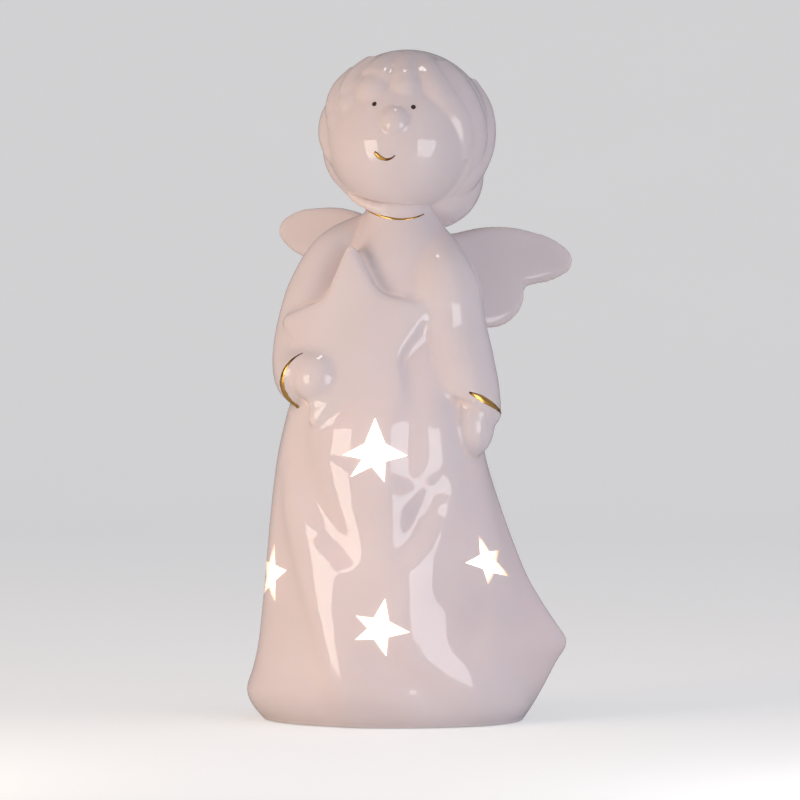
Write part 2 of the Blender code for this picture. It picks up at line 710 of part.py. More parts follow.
def angel_figure():
    """The porcelain figure: everything is modelled as overlapping clay, skinned as one, hollowed and cut."""
    top = GOWN[-1][0]
    clay = [
        gown_form("gown", GOWN[0][0], top),
        sleeve("right_sleeve", RIGHT_SLEEVE),
        sleeve("left_sleeve", LEFT_SLEEVE),
        ball("right_hand", *RIGHT_HAND),
        ball("left_hand", *LEFT_HAND),
        held_star(),
        ball("head", HEAD_CENTRE, (HEAD_RADIUS,) * 3),
        ball("nose", on_head(*NOSE_DIRECTION, HEAD_RADIUS - NOSE_SINK), (NOSE_RADIUS,) * 3),
        hair_cap(),
        ball("nape_hair", NAPE_CENTRE, NAPE_RADII),
        collar(),
        wing(1),
        wing(-1),
        *hair_locks(),
    ]
    figure = joined("angel_figure", clay, helper=False)
    add_clay_skin(figure, CLAY_VOXEL, GLAZE_SMOOTHING, CLAY_SHARE_KEPT)
    add_boolean(figure, angel_cavity())
    for number, star in enumerate(CUT_STARS, 1):
        add_boolean(figure, star_cutter(number, *star))
    span = 4 * HOLE_RADIUS
    add_boolean(figure, block("below_foot", (2 * span, 2 * span, span), (0.0, 0.0, -span / 2)))
    add_boolean(figure, gown_form("light_recess", -THROUGH, FLOOR_UNDERSIDE, inset=FOOT_WIDTH, rings=10, segments=48))
    add_boolean(figure, cylinder("light_hole", HOLE_RADIUS, -THROUGH, FLOOR_TOP + THROUGH))
    give_material(figure, "glazed_porcelain", (0.86, 0.83, 0.81), 0.12)
    shade_round(figure)
    return figure


def surface_tree(obj):
    """A search tree over the object's finished surface."""
    return BVHTree.FromObject(obj, bpy.context.evaluated_depsgraph_get())


def painted_place(tree, azimuth, elevation):
    """The glaze's point and direction at one azimuth and elevation of the head."""
    start = on_head(azimuth, elevation, 2 * HAIR_RADIUS)
    hit, normal, _, _ = tree.ray_cast(start, Vector(HEAD_CENTRE) - start)
    return hit, normal


def laid_line(name, hits):
    """A thin raised line of gold just above the glaze, through the given points and directions of the glaze."""
    lift = GILDING_RADIUS + GLAZE_GAP
    curve = bpy.data.curves.new(name, "CURVE")
    curve.dimensions = "3D"
    curve.bevel_depth = GILDING_RADIUS
    curve.bevel_resolution = 1
    curve.use_fill_caps = True
    spline = curve.splines.new("POLY")
    spline.points.add(len(hits) - 1)
    for knot, (place, normal) in zip(spline.points, hits):
        knot.co = (*(place + normal * lift), 1.0)
    line = add_object(name, curve)
    give_material(line, "fired_gold", (0.72, 0.48, 0.16), 0.2, metallic=1.0)
    return line


def mouth_gilding(tree):
    """The smile, a short curved line of gold."""
    return laid_line("mouth_gilding", [painted_place(tree, *place) for place in MOUTH])


def neckline_gilding(tree):
    """Gold along the foot of the collar, across the front."""
    frame = leaning_frame(COLLAR_CENTRE)
    centre = frame @ Vector((0.0, 0.0, -COLLAR_THICKNESS))
    first, last = NECKLINE_TURN
    steps = round(math.radians(last - first) * COLLAR_RADIUS / GILDING_STEP)
    hits = []
    for k in range(steps + 1):
        ray = frame.to_3x3() @ outward(first + (last - first) * k / steps)
        hit, normal, _, _ = tree.ray_cast(centre + ray * COLLAR_RADIUS * 2, -ray)
        hits.append((hit, normal))
    return laid_line("neckline_gilding", hits)


def cuff_gilding(name, tree, points_and_radii, turn):
    """Gold round the free side of a cuff. turn is the side's azimuth and the first and last angle about the arm."""
    side_azimuth, first, last = turn
    end, radius = Vector(points_and_radii[-1][0]), points_and_radii[-1][1]
    along = (end - Vector(points_and_radii[-2][0])).normalized()
    centre = end - along * CUFF_SETBACK
    side = outward(side_azimuth)
    side = (side - along * side.dot(along)).normalized()
    other = along.cross(side)
    steps = round(math.radians(last - first) * radius / GILDING_STEP)
    hits = []
    for k in range(steps + 1):
        angle = math.radians(first + (last - first) * k / steps)
        ray = side * math.cos(angle) + other * math.sin(angle)
        hit, normal, _, _ = tree.ray_cast(centre + ray * radius * 2, -ray)
        hits.append((hit, normal))
    return laid_line(name, hits)


def eye(name, tree, place):
    """One eye, a flat painted dot."""
    hit, normal = painted_place(tree, *place)
    bm = bmesh.new()
    bmesh.ops.create_uvsphere(bm, u_segments=12, v_segments=6, radius=EYE_RADIUS)
    flat = Matrix.Diagonal((1.0, 1.0, 0.5, 1.0))
    turn = normal.to_track_quat("Z", "Y").to_matrix().to_4x4()
    bm.transform(Matrix.Translation(hit + normal * (EYE_RADIUS / 2 + GLAZE_GAP)) @ turn @ flat)
    dot = mesh_object(name, bm)
    give_material(dot, "eye_enamel", (0.06, 0.03, 0.02), 0.3)
    return dot


def turned(name, profile, steps=ROUND_STEPS, helper=False):
    """A turned piece: a closed section, given as (radius, height) corners, spun about the light unit's axis."""
    bm = bmesh.new()
    section = [bm.verts.new((radius, 0.0, height)) for radius, height in profile]
    edges = [bm.edges.new((section[k - 1], section[k])) for k in range(len(section))]
    bmesh.ops.spin(
        bm, geom=section + edges, axis=(0, 0, 1), cent=(0, 0, 0), steps=steps, angle=2 * math.pi, use_merge=True
    )
    bmesh.ops.remove_doubles(bm, verts=bm.verts, dist=0.00001)
    return mesh_object(name, bm, helper)


def grip_ring():
    """The rubber ring that holds the light unit: a lip under the floor, a sleeve in the hole and a bead above it."""
    bead_bottom = FLOOR_TOP + SLACK
    bead_top = bead_bottom + RING_WALL
    bead_outer = HOLE_RADIUS + RING_BEAD
    ring = turned(
        "grip_ring",
        (
            (RING_INNER, LIP_BOTTOM),
            (FLANGE_RADIUS, LIP_BOTTOM),
            (FLANGE_RADIUS, LIP_BOTTOM + RING_LIP),
            (RING_OUTER, LIP_BOTTOM + RING_LIP),
            (RING_OUTER, bead_bottom),
            (bead_outer, bead_bottom),
            (bead_outer, bead_bottom + RING_WALL / 2),
            (RING_OUTER, bead_top),
            (RING_INNER, bead_top),
        ),
    )
    give_material(ring, "clear_rubber", (0.80, 0.80, 0.78), 0.4)
    return ring


def light_cup():
    """The light unit's upper shell: a cup with a hole for the LED and two bosses for the case screws."""
    inner = CUP_RADIUS - CUP_WALL
    cup = cylinder("light_cup", CUP_RADIUS, CUP_BOTTOM, CUP_TOP, helper=False)
    add_boolean(cup, cylinder("cup_hollow", inner, CUP_BOTTOM - THROUGH, CUP_TOP - CUP_WALL))
    for number, place in enumerate(CASE_SCREW_PLACES, 1):
        boss = cylinder(f"case_boss_{number}", BOSS_RADIUS, CUP_BOTTOM, CUP_TOP - CUP_WALL / 2, place, SMALL_STEPS)
        add_boolean(cup, boss, "UNION")
    for number, place in enumerate(CASE_SCREW_PLACES, 1):
        bore_top = CUP_BOTTOM + SCREW_BITE + THROUGH
        add_boolean(
            cup, cylinder(f"case_bore_{number}", SCREW_HOLE_RADIUS, CUP_BOTTOM - THROUGH, bore_top, place, SMALL_STEPS)
        )
    add_boolean(cup, cylinder("led_window", LED_RADIUS + SLACK, CUP_TOP - 2 * CUP_WALL, CUP_TOP + THROUGH, steps=24))
    give_material(cup, "white_plastic", (0.88, 0.88, 0.86), 0.35)
    shade_round(cup)
    return cup


def door_plan(name, clearance, bottom, top, helper):
    """The battery door's plan, a disc with an ear for its screw, grown by a clearance."""
    plan = cylinder(name, DOOR_RADIUS + clearance, bottom, top, CELL_CENTRE, helper=helper)
    ear_middle = DOOR_SCREW_REACH / 2
    ear = block(
        f"{name}_ear",
        (DOOR_SCREW_REACH, DOOR_EAR_WIDTH + 2 * clearance, top - bottom),
        (ear_middle, CELL_OFFSET, (bottom + top) / 2),
    )
    nose = cylinder(f"{name}_nose", DOOR_EAR_WIDTH / 2 + clearance, bottom, top, DOOR_SCREW_PLACE, SMALL_STEPS)
    add_boolean(plan, ear, "UNION")
    add_boolean(plan, nose, "UNION")
    return plan


def door_tongue(name, clearance):
    """The door's tongue, which hooks under the bottom plate opposite the screw, grown by a clearance."""
    root = DOOR_RADIUS - TONGUE_LENGTH / 2
    size = (
        TONGUE_LENGTH * 1.5 + 2 * clearance,
        TONGUE_WIDTH + 2 * clearance,
        TONGUE_THICKNESS + 2 * clearance,
    )
    return block(name, size, (-root - TONGUE_LENGTH * 0.75, CELL_OFFSET, DOOR_TOP))


def light_base():
    """The light unit's bottom plate: the battery bay, the door's recess, the switch slot and the screw holes."""
    base = cylinder("light_base", FLANGE_RADIUS, BASE_BOTTOM, BASE_TOP, helper=False)
    add_boolean(base, cylinder("bay_wall", BAY_OUTER, BASE_BOTTOM + SLACK, BASE_TOP + BAY_HEIGHT, CELL_CENTRE), "UNION")
    boss_top = BASE_TOP + SCREW_BITE - SCREW_HEAD_THICKNESS
    door_boss = cylinder("door_boss", BOSS_RADIUS, BASE_BOTTOM + SLACK, boss_top, DOOR_SCREW_PLACE, SMALL_STEPS)
    add_boolean(base, door_boss, "UNION")
    add_boolean(base, cylinder("bay_bore", BAY_RADIUS, BASE_BOTTOM - THROUGH, BASE_TOP + BAY_HEIGHT + THROUGH, CELL_CENTRE))
    recess = made_mesh(door_plan("door_recess", SLACK, BASE_BOTTOM - THROUGH, DOOR_TOP + SLACK, helper=True))
    add_boolean(base, recess)
    add_boolean(base, door_tongue("tongue_pocket", SLACK))
    add_boolean(base, cylinder("door_bore", SCREW_HOLE_RADIUS, BASE_BOTTOM, boss_top + THROUGH, DOOR_SCREW_PLACE, SMALL_STEPS))
    for number, place in enumerate(CASE_SCREW_PLACES, 1):
        head_top = BASE_BOTTOM + SCREW_HEAD_THICKNESS + SLACK
        add_boolean(base, cylinder(f"case_hole_{number}", SCREW_HOLE_RADIUS, BASE_BOTTOM, BASE_TOP + THROUGH, place, SMALL_STEPS))
        add_boolean(
            base, cylinder(f"case_sink_{number}", SCREW_HEAD_RADIUS + SLACK, BASE_BOTTOM - THROUGH, head_top, place, SMALL_STEPS)
        )
    slot_length = KNOB_LENGTH + SWITCH_TRAVEL + 2 * SLACK
    slot_centre = (0.0, -SWITCH_OFFSET, (BASE_BOTTOM + BASE_TOP) / 2)
    add_boolean(base, block("switch_slot", (slot_length, KNOB_WIDTH + 2 * SLACK, 2 * BASE_THICKNESS), slot_centre))
    notch_reach = CONTACT_THICKNESS + 2 * SLACK
    notch_centre = (-BAY_RADIUS - notch_reach / 2 + SLACK, CELL_OFFSET, BASE_TOP + BAY_HEIGHT)
    notch_size = (notch_reach + 2 * SLACK, CONTACT_WIDTH + 2 * SLACK, 2 * BAY_HEIGHT - 2 * SLACK)
    add_boolean(base, block("contact_notch", notch_size, notch_centre))
    give_material(base, "white_plastic", (0.88, 0.88, 0.86), 0.35)
    shade_round(base)
    return base


def battery_door():
    """The door over the coin cell, held by one screw through its ear."""
    door = door_plan("battery_door", 0.0, BASE_BOTTOM, DOOR_TOP, helper=False)
    add_boolean(door, door_tongue("door_tongue", 0.0), "UNION")
    hole = cylinder("door_hole", SCREW_HOLE_RADIUS, BASE_BOTTOM - THROUGH, DOOR_TOP + THROUGH, DOOR_SCREW_PLACE, SMALL_STEPS)
    add_boolean(door, hole)
    give_material(door, "white_plastic", (0.88, 0.88, 0.86), 0.35)
    shade_round(door)
    return door


def screw(name, place, head_top, length):
    """A cross-head screw, head down."""
    head_bottom = head_top - SCREW_HEAD_THICKNESS
    body = cylinder(name, SCREW_HEAD_RADIUS, head_bottom, head_top, place, SMALL_STEPS, helper=False)
    shank = cylinder(f"{name}_shank", SCREW_RADIUS, head_bottom + SCREW_HEAD_THICKNESS / 2, head_top + length, place, 12)
    add_boolean(body, shank, "UNION")
    slot_width, slot_depth = SCREW_RADIUS * 0.5, SCREW_HEAD_THICKNESS
    for k, size in enumerate(((SCREW_RADIUS * 2, slot_width), (slot_width, SCREW_RADIUS * 2))):
        add_boolean(body, block(f"{name}_cross_{k}", (*size, slot_depth), (*place, head_bottom)))
    give_material(body, "zinc_steel", (0.62, 0.62, 0.63), 0.3, metallic=1.0)
    return body


def coin_cell():
    """The lithium coin cell, a can with a smaller top rim."""
    can = turned(
        "coin_cell",
        (
            (0.0, CELL_BOTTOM),
            (CELL_RADIUS, CELL_BOTTOM),
            (CELL_RADIUS, CELL_TOP - CELL_THICKNESS / 4),
            (CELL_RADIUS * 0.86, CELL_TOP - CELL_THICKNESS / 8),
            (CELL_RADIUS * 0.86, CELL_TOP),
            (0.0, CELL_TOP),
        ),
    )
    can.location = (*CELL_CENTRE, 0.0)
    give_material(can, "cell_steel", (0.75, 0.75, 0.76), 0.22, metallic=1.0)
    shade_round(can)
    return can


def bent_strip(name, profile, width, centre_y):
    """A bent metal strip: its side outline, as (x, z) corners, drawn out to its width."""
    bm = bmesh.new()
    face = bm.faces.new([bm.verts.new((x, centre_y - width / 2, z)) for x, z in profile])
    moved = [v for v in bmesh.ops.extrude_face_region(bm, geom=[face])["geom"] if isinstance(v, bmesh.types.BMVert)]
    bmesh.ops.translate(bm, verts=moved, vec=(0.0, width, 0.0))
    strip = mesh_object(name, bm)
    give_material(strip, "nickel_strip", (0.70, 0.68, 0.62), 0.25, metallic=1.0)
    return strip


def positive_contact():
    """The strip against the cell's rim, bent in at the top to the circuit board."""
    inside = -(CELL_RADIUS + SLACK)
    outside = inside - CONTACT_THICKNESS
    low = BASE_TOP + 2 * SLACK
    high = BOARD_BOTTOM - SLACK
    foot = inside + CONTACT_WIDTH * 0.6
    profile = (
        (outside, low),
        (inside, low),
        (inside, high - CONTACT_THICKNESS),
        (foot, high - CONTACT_THICKNESS),
        (foot, high),
        (outside, high),
    )
    return bent_strip("positive_contact", profile, CONTACT_WIDTH, CELL_OFFSET)


def negative_contact():
    """The leaf spring from the circuit board down to the cell's face."""
    high = BOARD_BOTTOM - SLACK
    low = CELL_TOP + SLACK
    pad_end = CELL_RADIUS * 0.7
    pad_start = CELL_RADIUS * 0.35
    tip = -CELL_RADIUS * 0.15
    profile = (
        (pad_end, high),
        (pad_start, high),
        (tip, low + CONTACT_THICKNESS),
        (tip - CONTACT_WIDTH / 2, low + CONTACT_THICKNESS * 1.6),
        (tip - CONTACT_WIDTH / 2, low + CONTACT_THICKNESS * 0.6),
        (tip, low),
        (pad_start, high - CONTACT_THICKNESS),
        (pad_end, high - CONTACT_THICKNESS),
    )
    return bent_strip("negative_contact", profile, CONTACT_WIDTH, CELL_OFFSET)


def circuit_board():
    """The round board, notched round the case bosses and drilled for the leads."""
    board = cylinder("circuit_board", BOARD_RADIUS, BOARD_BOTTOM, BOARD_TOP, helper=False)
    low, high = BOARD_BOTTOM - THROUGH, BOARD_TOP + THROUGH
    for number, place in enumerate(CASE_SCREW_PLACES, 1):
        add_boolean(board, cylinder(f"board_notch_{number}", BOSS_RADIUS + SLACK, low, high, place, SMALL_STEPS))
    holes = [(-LEAD_PITCH / 2, 0.0), (LEAD_PITCH / 2, 0.0)]
    holes += [(RESISTOR_PLACE[0], RESISTOR_PLACE[1] + end * RESISTOR_SPAN / 2) for end in (-1, 1)]
    for number, place in enumerate(holes, 1):
        add_boolean(board, cylinder(f"lead_hole_{number}", LEAD_RADIUS + SLACK, low, high, place, 10))
    give_material(board, "green_board", (0.06, 0.26, 0.12), 0.4)
    return board


def led():
    """A 5 mm warm white LED: a domed lens with a flange, on two leads through the board."""
    bottom = BOARD_TOP + LED_STANDOFF
    top = bottom + LED_HEIGHT
    dome_start = top - LED_RADIUS
    dome = [(LED_RADIUS * math.cos(t), dome_start + LED_RADIUS * math.sin(t)) for t in (math.pi / 2 * k / 6 for k in range(7))]
    profile = [(0.0, bottom), (LED_FLANGE, bottom), (LED_FLANGE, bottom + 0.001), (LED_RADIUS, bottom + 0.001), *dome[:-1], (0.0, top)]
    lens = turned("led", profile, steps=24)
    for number, side in enumerate((-1, 1), 1):
        lead = cylinder(
            f"led_lead_{number}",
            LEAD_RADIUS,
            BOARD_BOTTOM - LED_STANDOFF / 2,
            bottom + LED_STANDOFF / 2,
            (side * LEAD_PITCH / 2, 0.0),
            8,
        )
        add_boolean(lens, lead, "UNION")
    give_material(lens, "warm_led", (1.0, 0.90, 0.68), 0.15, alpha=0.8)
    shade_round(lens)
    return lens


def resistor():
    """The LED's resistor, lying over the board on its bent leads."""
    x, y = RESISTOR_PLACE
    level = BOARD_TOP + SLACK + RESISTOR_RADIUS
    half = RESISTOR_SPAN / 2
    bm = bmesh.new()
    bmesh.ops.create_cone(
        bm, cap_ends=True, segments=SMALL_STEPS, radius1=RESISTOR_RADIUS, radius2=RESISTOR_RADIUS, depth=RESISTOR_LENGTH
    )
    bm.transform(Matrix.Translation((x, y, level)) @ Matrix.Rotation(math.radians(90.0), 4, "X"))
    body = mesh_object("resistor", bm)
    low = BOARD_BOTTOM - LED_STANDOFF / 2
    curve = bpy.data.curves.new("resistor_lead", "CURVE")
    curve.dimensions = "3D"
    curve.bevel_depth = LEAD_RADIUS
    curve.bevel_resolution = 1
    curve.use_fill_caps = True
    spline = curve.splines.new("POLY")
    route = ((x, y - half, low), (x, y - half, level), (x, y + half, level), (x, y + half, low))
    spline.points.add(len(route) - 1)
    for knot, place in zip(spline.points, route):
        knot.co = (*place, 1.0)
    add_boolean(body, made_mesh(add_object("resistor_lead", curve, helper=True)), "UNION")
    give_material(body, "resistor_tan", (0.72, 0.58, 0.38), 0.5)
    return body


def switch_frame():
    """The slide switch's metal frame on the bottom plate, open below for its slider."""
    bottom = BASE_TOP + SLACK
    frame = block(
        "switch_frame",
        (SWITCH_LENGTH, SWITCH_WIDTH, SWITCH_HEIGHT),
        (0.0, -SWITCH_OFFSET, bottom + SWITCH_HEIGHT / 2),
        helper=False,
    )
    room = SLIDER_LENGTH + SWITCH_TRAVEL + 2 * SLACK
    room_height = SLIDER_THICKNESS + 2 * SLACK
    room_width = SWITCH_WIDTH - 2 * SWITCH_SKIN
    add_boolean(
        frame,
        block("slider_room", (room, room_width, room_height), (0.0, -SWITCH_OFFSET, bottom + SWITCH_SKIN + room_height / 2)),
    )
    slot = (KNOB_LENGTH + SWITCH_TRAVEL + 2 * SLACK, KNOB_WIDTH + 2 * SLACK, 4 * SWITCH_SKIN)
    add_boolean(frame, block("frame_slot", slot, (0.0, -SWITCH_OFFSET, bottom)))
    give_material(frame, "tinned_steel", (0.66, 0.66, 0.66), 0.3, metallic=1.0)
    return frame


def switch_slider():
    """The switch's slider with its knob, which stands a little below the bottom plate. It is drawn at ON."""
    x = SWITCH_TRAVEL / 2
    bottom = BASE_TOP + SLACK + SWITCH_SKIN + SLACK
    slider = block(
        "switch_slider",
        (SLIDER_LENGTH, SWITCH_WIDTH - 2 * SWITCH_SKIN - 2 * SLACK, SLIDER_THICKNESS),
        (x, -SWITCH_OFFSET, bottom + SLIDER_THICKNESS / 2),
        helper=False,
    )
    low = BASE_BOTTOM - KNOB_STANDOUT
    high = bottom + SLIDER_THICKNESS / 2
    add_boolean(
        slider,
        block("switch_knob", (KNOB_LENGTH, KNOB_WIDTH, high - low), (x, -SWITCH_OFFSET, (low + high) / 2)),
        "UNION",
    )
    give_material(slider, "black_plastic", (0.03, 0.03, 0.03), 0.45)
    return slider


def centre_on_box():
    """Moves the whole model so that the origin lies under the middle of its box, on the ground."""
    bpy.context.view_layer.update()
    graph = bpy.context.evaluated_depsgraph_get()
    pieces = list(collection_of("led_angel").objects)
    points = []
    for piece in pieces:
        seen = piece.evaluated_get(graph)
        points += [seen.matrix_world @ vert.co for vert in seen.to_mesh().vertices]
        seen.to_mesh_clear()
    lows = [min(p[k] for p in points) for k in range(3)]
    highs = [max(p[k] for p in points) for k in range(2)]
    stand = bpy.data.objects.new("stand", None)
    collection_of("led_angel").objects.link(stand)
    everything = pieces + list(collection_of("cutters_and_cores").objects)
    for obj in everything:
        obj.parent = stand
    stand.location = (-(lows[0] + highs[0]) / 2, -(lows[1] + highs[1]) / 2, -lows[2])


def main():
    """Builds the figure, its gilding and the light unit."""
    clear_scene()
    figure = angel_figure()
    bpy.context.view_layer.update()
    glaze = surface_tree(figure)
    neckline_gilding(glaze)
    mouth_gilding(glaze)
    cuff_gilding("right_cuff_gilding", glaze, RIGHT_SLEEVE, RIGHT_CUFF_TURN)
    cuff_gilding("left_cuff_gilding", glaze, LEFT_SLEEVE, LEFT_CUFF_TURN)
    eye("right_eye", glaze, RIGHT_EYE)
    eye("left_eye", glaze, LEFT_EYE)
    grip_ring()
    light_cup()
    light_base()
    battery_door()
    coin_cell()
    positive_contact()
    negative_contact()
    circuit_board()
    led()
    resistor()
    switch_frame()
    switch_slider()
    head_top = BASE_BOTTOM + SCREW_HEAD_THICKNESS
    for number, place in enumerate(CASE_SCREW_PLACES, 1):
        screw(f"case_screw_{number}", place, head_top, SCREW_BITE)
    screw("battery_door_screw", DOOR_SCREW_PLACE, BASE_BOTTOM - SLACK, SCREW_BITE)
    centre_on_box()


main()
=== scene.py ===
"""The LED angel's visual model: a hollow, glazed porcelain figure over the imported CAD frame.

Lengths are in metres. The figure is drawn about the axis of its light, facing -Y, and is then moved to
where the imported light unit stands. Azimuths are in degrees from the front and grow towards the angel's
left.
"""

import logging
import math
from dataclasses import dataclass, field
from enum import Enum

import bpy
from mathutils import Matrix, Vector
from mathutils.bvhtree import BVHTree


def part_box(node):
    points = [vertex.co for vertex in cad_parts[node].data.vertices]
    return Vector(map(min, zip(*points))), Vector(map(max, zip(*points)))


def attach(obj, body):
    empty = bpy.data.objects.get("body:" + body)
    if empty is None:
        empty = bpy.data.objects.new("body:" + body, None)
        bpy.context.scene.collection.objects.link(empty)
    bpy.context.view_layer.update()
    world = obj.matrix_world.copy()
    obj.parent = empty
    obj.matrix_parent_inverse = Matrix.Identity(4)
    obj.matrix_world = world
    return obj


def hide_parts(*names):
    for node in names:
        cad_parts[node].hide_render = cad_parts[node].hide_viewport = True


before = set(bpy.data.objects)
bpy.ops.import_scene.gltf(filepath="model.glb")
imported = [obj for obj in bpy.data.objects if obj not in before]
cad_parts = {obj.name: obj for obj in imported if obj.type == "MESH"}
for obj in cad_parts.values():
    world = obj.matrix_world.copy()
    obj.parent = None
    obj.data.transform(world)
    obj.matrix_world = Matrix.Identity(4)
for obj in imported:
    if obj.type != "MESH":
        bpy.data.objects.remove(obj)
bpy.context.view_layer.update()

LOG = logging.getLogger("led_angel")
BODY = "figure_and_light"
GILDED = ("mouth_gilding", "neckline_gilding", "right_cuff_gilding", "left_cuff_gilding")
Path = tuple[tuple[float, float], ...]
Triple = tuple[float, float, float]


class Boolean(Enum):
    """How one solid acts on another."""

    CUT = "DIFFERENCE"
    ADD = "UNION"


class Side(Enum):
    """The angel's own sides, as the sign of X."""

    LEFT = 1
    RIGHT = -1


# Small steps with Blender's operators


def deselect_all() -> None:
    """Leaves no object selected."""
    for obj in bpy.context.selected_objects:
        obj.select_set(False)


def select_only(*objects: bpy.types.Object) -> None:
    """Selects these objects and makes the first one active.

    Args:
        *objects: The objects to select.
    """
    deselect_all()
    for obj in objects:
        obj.select_set(True)
    bpy.context.view_layer.objects.active = objects[0]


def named(name: str) -> bpy.types.Object:
    """Names the active object and its data, and returns it."""
    obj = bpy.context.object
    obj.name = name
    obj.data.name = name
    return obj


def settle(obj: bpy.types.Object) -> bpy.types.Object:
    """Moves an object's place, turn and size into its mesh."""
    select_only(obj)
    bpy.ops.object.transform_apply(location=True, rotation=True, scale=True)
    return obj


def make_mesh(obj: bpy.types.Object) -> bpy.types.Object:
    """Makes a curve object a mesh, with its end caps welded on.

    Args:
        obj: The curve object.

    Returns:
        The same object, now a mesh whose place is in its points.
    """
    select_only(obj)
    bpy.ops.object.convert(target="MESH")
    settle(obj)
    weld(obj)
    return obj


def weld(obj: bpy.types.Object, distance: float = 0.00001) -> None:
    """Merges points that meet, and turns every face outwards.

    Args:
        obj: The mesh object.
        distance: How close two points are merged at.
    """
    select_only(obj)
    bpy.ops.object.mode_set(mode="EDIT")
    bpy.ops.mesh.select_all(action="SELECT")
    bpy.ops.mesh.remove_doubles(threshold=distance)
    bpy.ops.mesh.normals_make_consistent(inside=False)
    bpy.ops.object.mode_set(mode="OBJECT")


def apply_modifiers(obj: bpy.types.Object) -> None:
    """Applies every modifier of an object in order."""
    select_only(obj)
    for modifier in list(obj.modifiers):
        bpy.ops.object.modifier_apply(modifier=modifier.name)


def remesh(obj: bpy.types.Object, voxel: float) -> None:
    """Makes overlapping forms one skin of even squares.

    Args:
        obj: The mesh object.
        voxel: The size of a square.
    """
    modifier = obj.modifiers.new("one_skin", "REMESH")
    modifier.mode = "VOXEL"
    modifier.voxel_size = voxel
    modifier.adaptivity = 0.0
    apply_modifiers(obj)


def soften(obj: bpy.types.Object, times: int, factor: float = 0.5) -> None:
    """Rounds edges and creases, as glaze does when it runs.

    Args:
        obj: The mesh object.
        times: How often the smoothing is repeated.
        factor: How far a point moves towards its neighbours each time.
    """
    modifier = obj.modifiers.new("glaze", "SMOOTH")
    modifier.factor = factor
    modifier.iterations = times
    apply_modifiers(obj)


def combine(obj: bpy.types.Object, tool: bpy.types.Object, how: Boolean) -> None:
    """Cuts a solid away from an object or adds it, and removes the solid.

    Args:
        obj: The object that changes.
        tool: The solid that is used up.
        how: Whether it is cut away or added.
    """
    modifier = obj.modifiers.new("solid", "BOOLEAN")
    modifier.operation = how.value
    modifier.solver = "EXACT"
    modifier.object = tool
    apply_modifiers(obj)
    bpy.data.objects.remove(tool)


def join(name: str, pieces: list[bpy.types.Object]) -> bpy.types.Object:
    """Joins mesh objects into one.

    Args:
        name: The name of the joined object.
        pieces: The mesh objects.

    Returns:
        The joined object.
    """
    select_only(*pieces)
    bpy.ops.object.join()
    return named(name)


def ball(
    name: str, centre: Vector, radii: Triple, turn: Matrix | None = None, segments: int = 72
) -> bpy.types.Object:
    """Adds an egg shape.

    Args:
        name: The object's name.
        centre: Its middle.
        radii: Its reach along its own three axes.
        turn: How it is turned, if it is.
        segments: How many segments it has.

    Returns:
        The egg as a mesh object.
    """
    deselect_all()
    bpy.ops.mesh.primitive_uv_sphere_add(segments=segments, ring_count=segments * 5 // 8, radius=1.0)
    obj = named(name)
    turned = turn or Matrix.Identity(4)
    obj.data.transform(Matrix.Translation(centre) @ turned @ Matrix.Diagonal((*radii, 1.0)))
    return obj


def drum(name: str, radius: float, bottom: float, top: float, sides: int = 96) -> bpy.types.Object:
    """Adds an upright cylinder about the light's axis.

    Args:
        name: The object's name.
        radius: Its radius.
        bottom: Its lower height.
        top: Its upper height.
        sides: How many sides stand for its round.

    Returns:
        The cylinder as a mesh object.
    """
    deselect_all()
    bpy.ops.mesh.primitive_cylinder_add(
        vertices=sides, radius=radius, depth=top - bottom, location=(0.0, 0.0, (top + bottom) / 2)
    )
    return settle(named(name))


def slice_off(obj: bpy.types.Object, place: Vector, facing: Vector) -> None:
    """Cuts away what lies beyond a plane and closes the cut.

    Args:
        obj: The mesh object.
        place: A point on the plane.
        facing: The direction of the side that goes.
    """
    select_only(obj)
    bpy.ops.object.mode_set(mode="EDIT")
    bpy.ops.mesh.select_all(action="SELECT")
    bpy.ops.mesh.bisect(plane_co=place, plane_no=facing, use_fill=True, clear_outer=True)
    bpy.ops.object.mode_set(mode="OBJECT")


def tube(name: str, points: list[Vector], radii: list[float]) -> bpy.types.Object:
    """Draws a round tube along a smooth curve.

    Args:
        name: The object's name.
        points: The curve's points.
        radii: The tube's radius at each point.

    Returns:
        The tube as a closed mesh object.
    """
    deselect_all()
    bpy.ops.curve.primitive_bezier_curve_add()
    obj = named(name)
    obj.data.dimensions = "3D"
    obj.data.resolution_u = 16
    obj.data.bevel_depth = 1.0
    obj.data.bevel_resolution = 10
    obj.data.use_fill_caps = True
    spline = obj.data.splines[0]
    spline.bezier_points.add(len(points) - len(spline.bezier_points))
    for knot, place, radius in zip(spline.bezier_points, points, radii):
        knot.handle_left_type = knot.handle_right_type = "AUTO"
        knot.co = place
        knot.radius = radius
    return make_mesh(obj)


def outward(azimuth: float) -> Vector:
    """The level direction at an azimuth from the front."""
    turn = math.radians(azimuth)
    return Vector((math.sin(turn), -math.cos(turn), 0.0))


